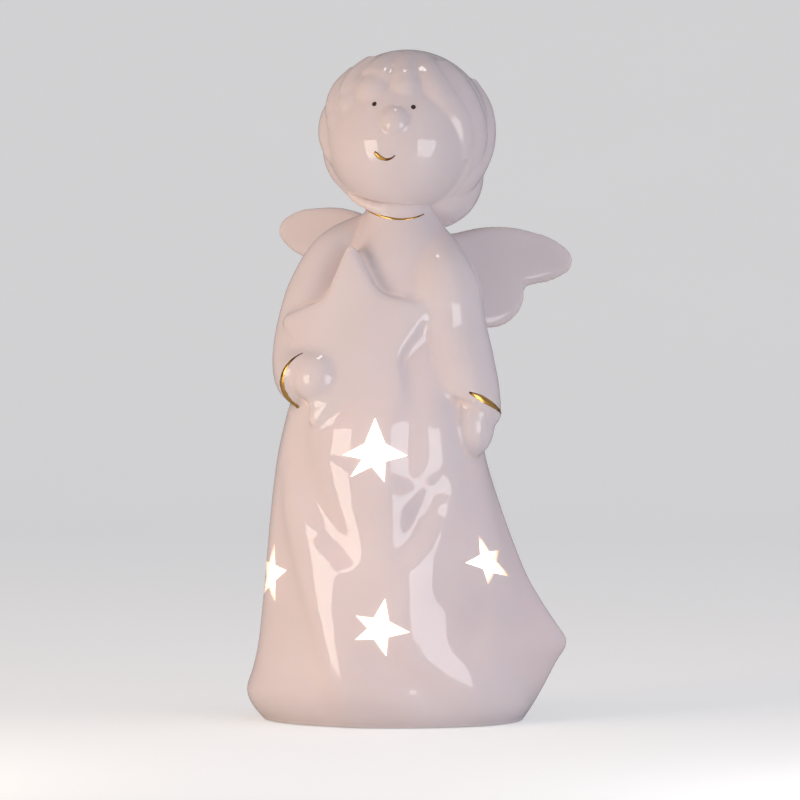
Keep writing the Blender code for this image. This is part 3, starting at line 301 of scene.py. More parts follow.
def between(stations: tuple[tuple[float, ...], ...], height: float) -> tuple[float, ...]:
    """The row of values at a height, along a smooth curve through the stations.

    Args:
        stations: Rows that start with a height, from the lowest up.
        height: Where the values are wanted.

    Returns:
        The row's other values there.
    """
    last = len(stations) - 1
    if height <= stations[0][0]:
        return stations[0][1:]
    if height >= stations[last][0]:
        return stations[last][1:]
    i = next(k for k in range(last) if height <= stations[k + 1][0])
    h0, h1 = stations[i][0], stations[i + 1][0]
    t = (height - h0) / (h1 - h0)
    before, after = stations[max(i - 1, 0)], stations[min(i + 2, last)]
    values = []
    for k in range(1, len(stations[0])):
        a, b = stations[i][k], stations[i + 1][k]
        rise = (b - before[k]) / (h1 - before[0]) * (h1 - h0)
        fall = (after[k] - a) / (after[0] - h0) * (h1 - h0)
        keep, reach = (1 + 2 * t) * (1 - t) ** 2, t * t * (3 - 2 * t)
        values.append(a * keep + b * reach + rise * t * (1 - t) ** 2 - fall * t * t * (1 - t))
    return tuple(values)


def leaning(place: Vector, roll: float) -> Matrix:
    """A frame at a place that leans to the angel's left by an angle in degrees."""
    return Matrix.Translation(place) @ Matrix.Rotation(math.radians(roll), 4, "Y")


# Finishes


class Finish:
    """A material being built from shader nodes."""

    def __init__(self, name: str) -> None:
        """Starts a material.

        Args:
            name: The material's name.
        """
        self.material = bpy.data.materials.new(name)
        self.material.use_nodes = True
        self.tree = self.material.node_tree
        self.shader = self.tree.nodes["Principled BSDF"]

    def node(self, kind: str, **settings: object) -> bpy.types.Node:
        """Adds a shader node.

        Args:
            kind: The node's type name.
            **settings: Its settings, by property name.

        Returns:
            The node.
        """
        added = self.tree.nodes.new(kind)
        for key, value in settings.items():
            setattr(added, key, value)
        return added

    def link(self, source: bpy.types.NodeSocket, target: bpy.types.NodeSocket) -> None:
        """Links one socket to another."""
        self.tree.links.new(source, target)

    def set(self, **values: object) -> None:
        """Sets the shader's own sockets, with underscores for spaces in their names."""
        for key, value in values.items():
            self.shader.inputs[key.replace("_", " ")].default_value = value

    def place(self) -> bpy.types.NodeSocket:
        """The point being shaded, in the object's own coordinates."""
        return self.node("ShaderNodeTexCoord").outputs["Object"]

    def noise(self, scale: float, detail: float = 3.0, roughness: float = 0.5) -> bpy.types.NodeSocket:
        """A cloudy pattern.

        Args:
            scale: Clouds to the metre.
            detail: How many finer layers it has.
            roughness: How strong the finer layers are.

        Returns:
            The pattern's value.
        """
        clouds = self.node("ShaderNodeTexNoise")
        self.link(self.place(), clouds.inputs["Vector"])
        clouds.inputs["Scale"].default_value = scale
        clouds.inputs["Detail"].default_value = detail
        clouds.inputs["Roughness"].default_value = roughness
        return clouds.outputs["Fac"]

    def ramp(self, value: bpy.types.NodeSocket, *stops: tuple[float, Triple]) -> bpy.types.NodeSocket:
        """Turns a value into a colour.

        Args:
            value: The value.
            *stops: Places from 0 to 1 with the colour at each.

        Returns:
            The colour.
        """
        ramp = self.node("ShaderNodeValToRGB")
        elements = ramp.color_ramp.elements
        while len(elements) < len(stops):
            elements.new(0.5)
        for element, (place, colour) in zip(elements, stops):
            element.position = place
            element.color = (*colour, 1.0)
        self.link(value, ramp.inputs["Fac"])
        return ramp.outputs["Color"]

    def spread(
        self, value: bpy.types.NodeSocket, low: float, high: float, start: float = 0.0, end: float = 1.0
    ) -> bpy.types.NodeSocket:
        """Stretches a value from one range to another.

        Args:
            value: The value.
            low: The new lowest value.
            high: The new highest value.
            start: The old value that becomes the lowest.
            end: The old value that becomes the highest.

        Returns:
            The new value.
        """
        stretch = self.node("ShaderNodeMapRange")
        stretch.inputs["From Min"].default_value = start
        stretch.inputs["From Max"].default_value = end
        stretch.inputs["To Min"].default_value = low
        stretch.inputs["To Max"].default_value = high
        self.link(value, stretch.inputs["Value"])
        return stretch.outputs["Result"]

    def total(self, first: bpy.types.NodeSocket, second: bpy.types.NodeSocket) -> bpy.types.NodeSocket:
        """The sum of two values."""
        added = self.node("ShaderNodeMath", operation="ADD")
        self.link(first, added.inputs[0])
        self.link(second, added.inputs[1])
        return added.outputs[0]

    def bump(self, height: bpy.types.NodeSocket, distance: float, strength: float = 1.0) -> None:
        """Raises the surface by a pattern.

        Args:
            height: The pattern.
            distance: How high it stands, in metres.
            strength: How much of it shows.
        """
        raised = self.node("ShaderNodeBump")
        raised.inputs["Strength"].default_value = strength
        raised.inputs["Distance"].default_value = distance
        self.link(height, raised.inputs["Height"])
        self.link(raised.outputs["Normal"], self.shader.inputs["Normal"])

    def dress(self, *objects: bpy.types.Object) -> None:
        """Gives the finish to objects."""
        for obj in objects:
            if obj.data.materials:
                for index in range(len(obj.data.materials)):
                    obj.data.materials[index] = self.material
            else:
                obj.data.materials.append(self.material)


@dataclass(frozen=True)
class GlazedPorcelain:
    """White porcelain under a clear gloss glaze, with painted warm light where it is cut open or hollow: the
    clay emits there in place of the LED's light.
    """

    clay: Triple = (0.72, 0.640, 0.650)
    clay_shade: Triple = (0.69, 0.610, 0.620)
    painted_led_light: Triple = (1.0, 0.90, 0.72)
    painted_rim_light: Triple = (1.0, 0.55, 0.16)
    painted_light_strength: float = 1.6
    painted_light_depths: tuple[float, float] = (0.02, 0.85)
    gloss: float = 0.035
    bisque: float = 0.75
    bisque_heights: tuple[float, float] = (0.0004, 0.0010)
    ripple: float = 0.00001

    def build(self) -> Finish:
        """Builds the material. Its depth attribute runs from 0 on the glaze to 1 inside the hollow."""
        finish = Finish("glazed_porcelain")
        finish.set(IOR=1.5, Subsurface_Weight=0.15, Subsurface_Scale=0.004)
        height = finish.node("ShaderNodeSeparateXYZ")
        finish.link(finish.place(), height.inputs["Vector"])
        rough = finish.spread(height.outputs["Z"], self.bisque, self.gloss, *self.bisque_heights)
        finish.link(rough, finish.shader.inputs["Roughness"])
        finish.shader.inputs["Subsurface Radius"].default_value = (1.0, 0.8, 0.65)
        depth = finish.node("ShaderNodeAttribute", attribute_name="depth").outputs["Fac"]
        colour = finish.ramp(finish.noise(38.0, 2.0), (0.35, self.clay_shade), (0.65, self.clay))
        finish.link(colour, finish.shader.inputs["Base Color"])
        # Painted light: the cut walls emit orange and the inside emits warm white, by depth, standing in for
        # the LED's light falling on the clay.
        warm = finish.ramp(depth, (0.10, self.painted_rim_light), (0.90, self.painted_led_light))
        finish.link(warm, finish.shader.inputs["Emission Color"])
        painted_led_light = finish.spread(depth, 0.0, self.painted_light_strength, *self.painted_light_depths)
        finish.link(painted_led_light, finish.shader.inputs["Emission Strength"])
        finish.bump(finish.noise(120.0, 2.0), self.ripple, 0.6)
        return finish


@dataclass(frozen=True)
class GoldLustre:
    """A thin fired film of gold, browner where it is thin."""

    bright: Triple = (0.68, 0.40, 0.11)
    brown: Triple = (0.20, 0.075, 0.02)

    def build(self) -> Finish:
        """Builds the material."""
        finish = Finish("fired_gold")
        finish.set(Metallic=1.0)
        film = finish.node("ShaderNodeAttribute", attribute_name="film").outputs["Fac"]
        thickness = finish.spread(film, -0.30, 0.12, 0.2, 0.9)
        patches = finish.total(finish.noise(420.0, 4.0, 0.6), thickness)
        colour = finish.ramp(patches, (0.30, self.brown), (0.60, self.bright))
        finish.link(colour, finish.shader.inputs["Base Color"])
        finish.link(finish.spread(finish.noise(900.0), 0.12, 0.34), finish.shader.inputs["Roughness"])
        finish.bump(finish.noise(1500.0), 0.00002, 0.5)
        return finish


@dataclass(frozen=True)
class EyeEnamel:
    """Dark brown enamel dots."""

    colour: Triple = (0.022, 0.009, 0.006)

    def build(self) -> Finish:
        """Builds the material."""
        finish = Finish("eye_enamel")
        finish.set(Roughness=0.15, Coat_Weight=0.5)
        light = tuple(2.2 * c for c in self.colour)
        colour = finish.ramp(finish.noise(1600.0), (0.3, self.colour), (0.8, light))
        finish.link(colour, finish.shader.inputs["Base Color"])
        return finish


@dataclass(frozen=True)
class Moulded:
    """Injection-moulded plastic or rubber with a fine spark-eroded grain."""

    name: str
    colour: Triple
    roughness: float = 0.42
    grain: float = 2600.0
    depth: float = 0.00002
    see_through: float = 0.0

    def build(self) -> Finish:
        """Builds the material."""
        finish = Finish(self.name)
        finish.set(IOR=1.46, Transmission_Weight=self.see_through)
        darker = tuple(0.93 * c for c in self.colour)
        colour = finish.ramp(finish.noise(90.0), (0.35, darker), (0.65, self.colour))
        finish.link(colour, finish.shader.inputs["Base Color"])
        rough = finish.spread(finish.noise(300.0), self.roughness - 0.05, self.roughness + 0.08)
        finish.link(rough, finish.shader.inputs["Roughness"])
        finish.bump(finish.noise(self.grain, 2.0), self.depth)
        return finish


@dataclass(frozen=True)
class Plated:
    """Plated steel with fine drawn lines and small scuffs."""

    name: str
    colour: Triple
    roughness: float = 0.25

    def build(self) -> Finish:
        """Builds the material."""
        finish = Finish(self.name)
        finish.set(Metallic=1.0)
        dull = tuple(0.82 * c for c in self.colour)
        colour = finish.ramp(finish.noise(700.0, 4.0, 0.65), (0.38, dull), (0.6, self.colour))
        finish.link(colour, finish.shader.inputs["Base Color"])
        rough = finish.spread(finish.noise(1800.0, 5.0), self.roughness - 0.08, self.roughness + 0.14)
        finish.link(rough, finish.shader.inputs["Roughness"])
        finish.bump(finish.noise(3200.0), 0.00001)
        return finish


# The porcelain figure


@dataclass
class Gown:
    """The gown and torso: an oval section for every height, a blown-out hem corner and folds.

    A station is a height with the section's reach to the right, left, front and back. A corner row is a
    height with the hem corner's reach. A fold is its path, as azimuths with heights, how far it is raised,
    or pressed in where that is below 0, and its reach on the right and the left hand of who follows the
    path.
    """

    stations: tuple[tuple[float, ...], ...] = (
        (-0.0030, -0.0405, 0.0395, -0.0305, 0.0300),
        (0.0010, -0.0440, 0.0420, -0.0330, 0.0320),
        (0.0045, -0.0470, 0.0445, -0.0350, 0.0338),
        (0.0095, -0.0488, 0.0455, -0.0358, 0.0345),
        (0.0160, -0.0468, 0.0450, -0.0354, 0.0340),
        (0.0250, -0.0450, 0.0435, -0.0345, 0.0330),
        (0.0460, -0.0432, 0.0400, -0.0330, 0.0310),
        (0.0660, -0.0410, 0.0345, -0.0316, 0.0282),
        (0.0850, -0.0382, 0.0300, -0.0305, 0.0262),
        (0.1000, -0.0346, 0.0275, -0.0294, 0.0243),
        (0.1200, -0.0290, 0.0262, -0.0232, 0.0224),
        (0.1380, -0.0235, 0.0250, -0.0206, 0.0204),
        (0.1500, -0.0175, 0.0210, -0.0188, 0.0176),
        (0.1580, -0.0125, 0.0170, -0.0168, 0.0146),
        (0.1660, -0.0090, 0.0140, -0.0138, 0.0126),
        (0.1740, -0.0065, 0.0120, -0.0095, 0.0110),
    )
    corner_azimuth: float = 97.0
    corner_rounding: float = 0.05
    corner: tuple[tuple[float, float], ...] = (
        (-0.0030, 0.0395),
        (0.0033, 0.0440),
        (0.0110, 0.0487),
        (0.0190, 0.0530),
        (0.0252, 0.0565),
        (0.0310, 0.0530),
        (0.0385, 0.0480),
        (0.0460, 0.0436),
        (0.0580, 0.0386),
        (0.0720, 0.0336),
        (0.0850, 0.0295),
        (0.1740, 0.0050),
    )
    folds: tuple[tuple[Path, float, float, float], ...] = (
        (((-54, 0.098), (-46, 0.089), (-38, 0.079), (-24, 0.066), (-8, 0.051)), -0.0020, 0.0046, 0.0044),
        (
            ((-54, 0.084), (-47, 0.067), (-36, 0.049), (-25, 0.030), (-14, 0.010), (-10, -0.012)),
            0.0024,
            0.0050,
            0.0090,
        ),
        (((13, 0.116), (13, 0.090), (12, 0.060)), 0.0026, 0.0300, 0.0046),
        (((48, 0.116), (48, 0.092), (46, 0.068)), 0.0028, 0.0100, 0.0080),
        (((52, 0.082), (38, 0.0725), (26, 0.0615), (14, 0.0520)), -0.0022, 0.0040, 0.0040),
        (
            ((34, 0.076), (21, 0.060), (14, 0.049), (12, 0.037), (11, 0.025), (11, 0.006)),
            0.0038,
            0.0300,
            0.0125,
        ),
        (((24, 0.143), (30, 0.127), (37, 0.110)), 0.0024, 0.0065, 0.0065),
        (((66, 0.044), (46, 0.022)), -0.0013, 0.0052, 0.0052),
        (((-4, 0.024), (10, 0.019), (30, 0.011), (52, 0.002)), -0.0014, 0.0050, 0.0050),
        (((-95, 0.085), (-88, 0.045), (-96, 0.014)), -0.0016, 0.0065, 0.0065),
        (((140, 0.110), (136, 0.060), (126, 0.018)), -0.0020, 0.0070, 0.0070),
        (((178, 0.115), (184, 0.062), (176, 0.016)), -0.0022, 0.0075, 0.0075),
        (((222, 0.110), (226, 0.060), (236, 0.018)), -0.0020, 0.0070, 0.0070),
    )
    fold_fading: float = 0.6

    def fold_height(self, azimuth: float, height: float, radius: float) -> float:
        """How far the folds lift or press the gown at one place.

        Args:
            azimuth: The place's azimuth.
            height: The place's height.
            radius: The gown's radius there.

        Returns:
            The sum of what the folds do there.
        """
        total = 0.0
        for path, depth, before, after in self.folds:
            nearest, along, reach = 1.0, 0.0, after
            for i in range(len(path) - 1):
                (start, low), (end, high) = path[i], path[i + 1]
                turn = (azimuth - start + 180.0) % 360.0 - 180.0
                p = Vector((math.radians(turn) * radius, height - low))
                line = Vector((math.radians(end - start) * radius, high - low))
                t = min(1.0, max(0.0, p.dot(line) / line.length_squared))
                gap = (p - line * t).length
                if gap < nearest:
                    nearest, along = gap, (i + t) / (len(path) - 1)
                    reach = before if line.cross(p) < 0.0 else after
            fading = math.sin(math.pi * along) ** self.fold_fading
            total += depth * fading * math.exp(-((nearest / reach) ** 2))
        return total

    def middle(self, height: float) -> Vector:
        """The middle of the section at a height."""
        left, right, front, back = between(self.stations, height)
        return Vector(((left + right) / 2, (front + back) / 2, height))

    def radius(self, azimuth: float, height: float) -> float:
        """The oval's reach at one azimuth, drawn out in straight sides to the hem's corner.

        Args:
            azimuth: The azimuth.
            height: The height.

        Returns:
            The distance from the section's middle.
        """
        left, right, front, back = between(self.stations, height)
        half_width, half_depth = (right - left) / 2, (back - front) / 2
        direction = outward(azimuth)
        flat = Vector((direction.x / half_width, direction.y / half_depth))
        corner = outward(self.corner_azimuth) * between(self.corner, height)[0] - self.middle(height)
        tip = Vector((corner.x / half_width, corner.y / half_depth))
        if tip.length <= 1.0:
            return 1.0 / flat.length
        side = math.acos(1.0 / tip.length)
        away = math.hypot(abs(flat.angle_signed(tip)), self.corner_rounding) - self.corner_rounding
        return (1.0 / math.cos(side - away) if away < side else 1.0) / flat.length

    def point(self, azimuth: float, height: float, inset: float = 0.0) -> Vector:
        """A point on the gown, or inset below its surface."""
        radius = self.radius(azimuth, height)
        radius += self.fold_height(azimuth, height, radius)
        return self.middle(height) + outward(azimuth) * max(radius - inset, 0.002)

    def form(
        self, name: str, low: float, high: float, inset: float = 0.0, rings: int = 150, segments: int = 180
    ) -> bpy.types.Object:
        """Models the gown as a ball whose rings are pulled to the gown's sections.

        Args:
            name: The object's name.
            low: The height of its flat foot.
            high: The height of its top.
            inset: How far it lies inside the gown's surface.
            rings: The ball's rings.
            segments: The ball's segments.

        Returns:
            The closed form.
        """
        deselect_all()
        bpy.ops.mesh.primitive_uv_sphere_add(segments=segments, ring_count=rings, radius=1.0)
        obj = named(name)
        for vert in obj.data.vertices:
            level = (1.0 - math.acos(max(-1.0, min(1.0, vert.co.z))) / math.pi) * rings
            height = low + (high - low) * min(1.0, max(0.0, (level - 1.0) / (rings - 2.0)))
            if level < 0.5 or level > rings - 0.5:
                vert.co = self.middle(height)
            else:
                vert.co = self.point(math.degrees(math.atan2(vert.co.x, -vert.co.y)), height, inset)
        return obj


def star_plate(
    name: str, tips: Path, inner_share: float, thickness: float, rounding: float = 0.0
) -> bpy.types.Object:
    """Models a star as a plate about its middle, in the XY plane.

    Args:
        name: The object's name.
        tips: Each tip's angle in degrees, clockwise from the top, and its reach.
        inner_share: The inner corners' reach as a share of the tips' beside them.
        thickness: The plate's thickness.
        rounding: How far its corners are rounded back.

    Returns:
        The plate.
    """
    corners = []
    for k, (angle, reach) in enumerate(tips):
        after, reach_after = tips[(k + 1) % len(tips)]
        corners.append((angle, reach))
        corners.append((angle + ((after - angle) % 360) / 2, (reach + reach_after) / 2 * inner_share))
    deselect_all()
    bpy.ops.mesh.primitive_circle_add(vertices=len(corners), radius=1.0, fill_type="NGON")
    obj = named(name)
    for vert, (angle, reach) in zip(obj.data.vertices, corners):
        turn = math.radians(angle)
        vert.co = (reach * math.sin(turn), reach * math.cos(turn), -thickness / 2)
    bpy.ops.object.mode_set(mode="EDIT")
    bpy.ops.mesh.select_all(action="SELECT")
    if rounding:
        bpy.ops.mesh.bevel(offset=rounding, segments=5, affect="VERTICES")
        bpy.ops.mesh.select_all(action="SELECT")
    bpy.ops.mesh.extrude_region_move(TRANSFORM_OT_translate={"value": (0.0, 0.0, thickness)})
    bpy.ops.mesh.select_all(action="SELECT")
    bpy.ops.mesh.normals_make_consistent(inside=False)
    bpy.ops.object.mode_set(mode="OBJECT")
    return obj


@dataclass(frozen=True)
class CutStar:
    """A star cut by hand through the gown, with five uneven tips."""

    azimuth: float
    height: float
    tips: Path
    inner_share: float = 0.42

    def solid(self, name: str, thickness: float) -> bpy.types.Object:
        """Models the star as a plate."""
        return star_plate(name, self.tips, self.inner_share, thickness)


@dataclass
class AngelBody:
    """The porcelain below the head: gown, sleeves, hands, held star, collar and wings, hollowed and cut."""

    gown: Gown = field(default_factory=Gown)
    voxel: float = 0.00100
    wall: float = 0.0035
    floor_underside: float = 0.0070
    floor_top: float = 0.0105
    foot_width: float = 0.0042
    hole_radius: float = 0.0200
    through: float = 0.0020
    upper_roll: float = 7.0
    right_sleeve: tuple[tuple[Triple, float], ...] = (
        ((-0.0080, 0.0000, 0.1600), 0.0060),
        ((-0.0175, -0.0040, 0.1500), 0.0102),
        ((-0.0232, -0.0075, 0.1370), 0.0115),
        ((-0.0268, -0.0098, 0.1220), 0.0114),
        ((-0.0268, -0.0160, 0.1130), 0.0103),
        ((-0.0232, -0.0238, 0.1098), 0.0098),
    )
    left_sleeve: tuple[tuple[Triple, float], ...] = (
        ((0.0090, 0.0010, 0.1580), 0.0070),
        ((0.0134, -0.0045, 0.1480), 0.0112),
        ((0.0172, -0.0090, 0.1370), 0.0132),
        ((0.0182, -0.0084, 0.1270), 0.0132),
        ((0.0212, -0.0092, 0.1160), 0.0128),
        ((0.0246, -0.0105, 0.1040), 0.0116),
        ((0.0250, -0.0110, 0.0930), 0.0112),
    )
    left_cuff_centre: Triple = (0.0247, -0.0106, 0.1015)
    left_cuff_facing: Triple = (-0.36, -0.25, -0.90)
    right_hand: tuple[Triple, Triple] = (
        (-0.0210, -0.0256, 0.1110),
        (0.0080, 0.0066, 0.0082),
    )
    left_hand: tuple[Triple, Triple] = (
        (0.0276, -0.0126, 0.0955),
        (0.0070, 0.0075, 0.0100),
    )
    star_radius: float = 0.0338
    star_inner: float = 0.55
    star_rounding: float = 0.0032
    star_centre: Triple = (-0.0086, -0.0242, 0.1218)
    star_thickness: float = 0.0078
    star_narrowing: float = 0.80
    star_roll: float = 4.0
    star_lean: float = 8.0
    star_azimuth: float = -2.0
    star_bend: float = 0.052
    star_edge: float = 0.0026
    collar_centre: Triple = (-0.0002, -0.0020, 0.1724)
    collar_pitch: float = 30.0
    collar_radius: float = 0.0140
    collar_thickness: float = 0.0020
    neck_radius: float = 0.0057
    neck_run: Triple = (0.0015, -0.0015, 0.0340)
    wing_root: Triple = (0.0025, 0.0165, 0.1500)
    wing_lean: float = 8.0
    wing_sweep: float = 24.0
    wing_thickness: float = 0.0046
    wing_edge: float = 0.0020
    wing_outline: Path = (
        (-0.004, 0.002),
        (0.0140, 0.0090),
        (0.0280, 0.0130),
        (0.0400, 0.0128),
        (0.0500, 0.0100),
        (0.0537, 0.0060),
        (0.0500, 0.0018),
        (0.0420, -0.0014),
        (0.0362, -0.0028),
        (0.0378, -0.0078),
        (0.0350, -0.0142),
        (0.0285, -0.0177),
        (0.0180, -0.0168),
        (0.0060, -0.0110),
        (-0.004, -0.0050),
    )
    wing_notch: int = 8
    cut_stars: tuple[CutStar, ...] = (
        CutStar(6.4, 0.0868, ((0, 0.0112), (94, 0.0102), (161, 0.0096), (226, 0.0108), (267, 0.0103))),
        CutStar(3.6, 0.0316, ((12, 0.0098), (96, 0.0098), (165, 0.0090), (245, 0.0082), (299, 0.0084))),
        CutStar(66.5, 0.0520, ((-13, 0.0088), (62, 0.0076), (117, 0.0112), (193, 0.0074), (270, 0.0088))),
        CutStar(-67.0, 0.0474, ((8, 0.0106), (80, 0.0098), (152, 0.0102), (224, 0.0100), (296, 0.0098))),
    )
    lining_share: float = 0.55
    rim_reach: float = 0.0165

    def sleeve(self, side: Side) -> bpy.types.Object:
        """Models one arm in its sleeve."""
        path = self.left_sleeve if side is Side.LEFT else self.right_sleeve
        places = [Vector(place) for place, _ in path]
        obj = tube(f"{side.name.lower()}_sleeve", places, [radius for _, radius in path])
        if side is Side.LEFT:
            slice_off(obj, *self.cuff_plane(side))
        return obj

    def cuff_plane(self, side: Side) -> tuple[Vector, Vector]:
        """A point and the direction of the plane that a sleeve ends in."""
        if side is Side.LEFT:
            return Vector(self.left_cuff_centre), Vector(self.left_cuff_facing).normalized()
        end = Vector(self.right_sleeve[-1][0])
        return end, (end - Vector(self.right_sleeve[-2][0])).normalized()

    def collar_frame(self) -> Matrix:
        """The collar's frame, which leans with the shoulders and dips at the front."""
        dip = Matrix.Rotation(math.radians(self.collar_pitch), 4, "X")
        return leaning(Vector(self.collar_centre), self.upper_roll) @ dip

    def held_star(self) -> bpy.types.Object:
        """Models the big star, bent round the chest.

        Returns:
            The star in its place.
        """
        tips = tuple((72.0 * k, self.star_radius) for k in range(5))
        obj = star_plate("held_star", tips, self.star_inner, self.star_thickness, self.star_rounding)
        obj.data.transform(Matrix.Diagonal((self.star_narrowing, 1.0, 1.0, 1.0)))
        bevel = obj.modifiers.new("soft_edge", "BEVEL")
        bevel.width = self.star_edge
        bevel.segments = 4
        bevel.angle_limit = math.radians(50.0)
        apply_modifiers(obj)
        remesh(obj, self.voxel)
        turned = Matrix.Rotation(math.radians(self.star_roll), 4, "Z")
        for vert in obj.data.vertices:
            place = turned @ vert.co
            turn = place.x / self.star_bend
            reach = self.star_bend + place.z
            vert.co = (reach * math.sin(turn), self.star_bend - reach * math.cos(turn), place.y)
        obj.data.transform(
            Matrix.Translation(self.star_centre)
            @ Matrix.Rotation(math.radians(self.star_azimuth), 4, "Z")
            @ Matrix.Rotation(math.radians(-self.star_lean), 4, "X")
        )
        return obj

    def collar(self) -> bpy.types.Object:
        """Models the ring of the collar."""
        deselect_all()
        bpy.ops.mesh.primitive_torus_add(
            major_radius=self.collar_radius,
            minor_radius=self.collar_thickness,
            major_segments=96,
            minor_segments=24,
        )
        obj = named("collar")
        obj.data.transform(self.collar_frame())
        return obj

    def wing(self, side: Side) -> bpy.types.Object:
        """Models one wing as a plate with two lobes and rounded edges.

        Args:
            side: The side that the wing is on.

        Returns:
            The wing in its place.
        """
        deselect_all()
        bpy.ops.curve.primitive_bezier_circle_add()
        obj = named(f"{side.name.lower()}_wing")
        obj.data.dimensions = "2D"
        obj.data.fill_mode = "BOTH"
        obj.data.resolution_u = 14
        obj.data.extrude = self.wing_thickness / 2 - self.wing_edge
        obj.data.bevel_depth = self.wing_edge
        obj.data.bevel_resolution = 4
        knots = obj.data.splines[0].bezier_points
        knots.add(len(self.wing_outline) - len(knots))
        for knot, place in zip(knots, self.wing_outline):
            knot.handle_left_type = knot.handle_right_type = "AUTO"
            knot.co = (*place, 0.0)
        knots[self.wing_notch].handle_left_type = knots[self.wing_notch].handle_right_type = "VECTOR"
        make_mesh(obj)
        upright = Matrix.Rotation(math.radians(90.0 - self.wing_lean), 4, "X")
        swept = Matrix.Rotation(math.radians(self.wing_sweep), 4, "Z")
        mirrored = Matrix.Diagonal((side.value, 1.0, 1.0, 1.0))
        obj.data.transform(leaning(Vector(self.wing_root), self.upper_roll) @ mirrored @ swept @ upright)
        weld(obj)
        return obj

    def outer_clay(self) -> bpy.types.Object:
        """Models everything that shows from outside as one soft skin."""
        top = self.gown.stations[-1][0]
        pieces = [
            self.gown.form("gown", self.gown.stations[0][0], top),
            self.sleeve(Side.RIGHT),
            self.sleeve(Side.LEFT),
            ball("right_hand", Vector(self.right_hand[0]), self.right_hand[1]),
            ball("left_hand", Vector(self.left_hand[0]), self.left_hand[1]),
            self.held_star(),
            self.collar(),
            self.wing(Side.LEFT),
            self.wing(Side.RIGHT),
        ]
        clay = join("angel_body", pieces)
        remesh(clay, self.voxel)
        soften(clay, 10)
        return clay

    def hollow(self) -> bpy.types.Object:
        """Models the space inside the gown and the neck."""
        top = self.collar_centre[2]
        gown = self.gown.form("gown_hollow", self.floor_top, top - 2 * self.wall, self.wall, 90, 120)
        foot = Vector((self.collar_centre[0], self.collar_centre[1], top - 6 * self.wall))
        neck = tube("neck_hollow", [foot, foot + Vector(self.neck_run)], [self.neck_radius] * 2)
        combine(gown, neck, Boolean.ADD)
        return gown

    def cut_star(self, star: CutStar) -> bpy.types.Object:
        """Models the solid that one star is cut with.

        Args:
            star: The star's place and tips.

        Returns:
            The star-shaped solid.
        """
        axis_point = self.gown.middle(star.height)
        reach = (self.gown.point(star.azimuth, star.height) - axis_point).length
        obj = star.solid("cut_star", reach * 0.5)
        obj.data.transform(
            Matrix.Translation(axis_point)
            @ Matrix.Rotation(math.radians(star.azimuth), 4, "Z")
            @ Matrix.Rotation(math.radians(90.0), 4, "X")
            @ Matrix.Translation((0.0, 0.0, reach * 0.85))
        )
        return obj

    def build(self) -> bpy.types.Object:
        """Models the body and keeps how deep each of its points lies under the outside.

        Returns:
            The body, with a point attribute named depth.
        """
        clay = self.outer_clay()
        outside = BVHTree.FromObject(clay, bpy.context.evaluated_depsgraph_get())
        combine(clay, self.hollow(), Boolean.CUT)
        recess = self.gown.form("foot_recess", -self.through, self.floor_underside, self.foot_width, 24, 120)
        combine(clay, recess, Boolean.CUT)
        hole = drum("light_hole", self.hole_radius, -self.through, self.floor_top + self.through)
        combine(clay, hole, Boolean.CUT)
        remesh(clay, self.voxel * 0.95)
        soften(clay, 3)
        combine(clay, drum("below_foot", 0.12, -0.02, 0.0, sides=24), Boolean.CUT)
        for star in self.cut_stars:
            combine(clay, self.cut_star(star), Boolean.CUT)
        self.keep_depth(clay, outside)
        self.thin_lining(clay)
        self.keep_depth(clay, outside)
        select_only(clay)
        bpy.ops.object.shade_smooth_by_angle(angle=math.radians(50.0))
        return clay

    def thin_lining(self, clay: bpy.types.Object) -> None:
        """Merges small faces on the inside of the wall, which the light hides."""
        depth = clay.data.attributes["depth"].data
        centres = [self.gown.point(star.azimuth, star.height) for star in self.cut_stars]
        inner = [vert for vert in clay.data.vertices if depth[vert.index].value > 0.9]
        clear = [v.index for v in inner if all((v.co - c).length > self.rim_reach for c in centres)]
        lining = clay.vertex_groups.new(name="lining")
        lining.add(clear, 1.0, "REPLACE")
        modifier = clay.modifiers.new("thin_lining", "DECIMATE")
        modifier.ratio = self.lining_share
        modifier.vertex_group = lining.name
        apply_modifiers(clay)
        clay.vertex_groups.clear()
        clay.data.attributes.remove(clay.data.attributes["depth"])

    def keep_depth(self, clay: bpy.types.Object, outside: BVHTree) -> None:
        """Stores how far each point lies under the outer skin, as a share of the wall.

        Args:
            clay: The finished body.
            outside: A search tree over the outer skin.
        """
        depth = clay.data.attributes.new("depth", "FLOAT", "POINT")
        for index, vert in enumerate(clay.data.vertices):
            if vert.co.z < self.floor_top - 0.001:
                continue
            nearest = outside.find_nearest(vert.co)[3]
            depth.data[index].value = min(1.0, nearest / self.wall)


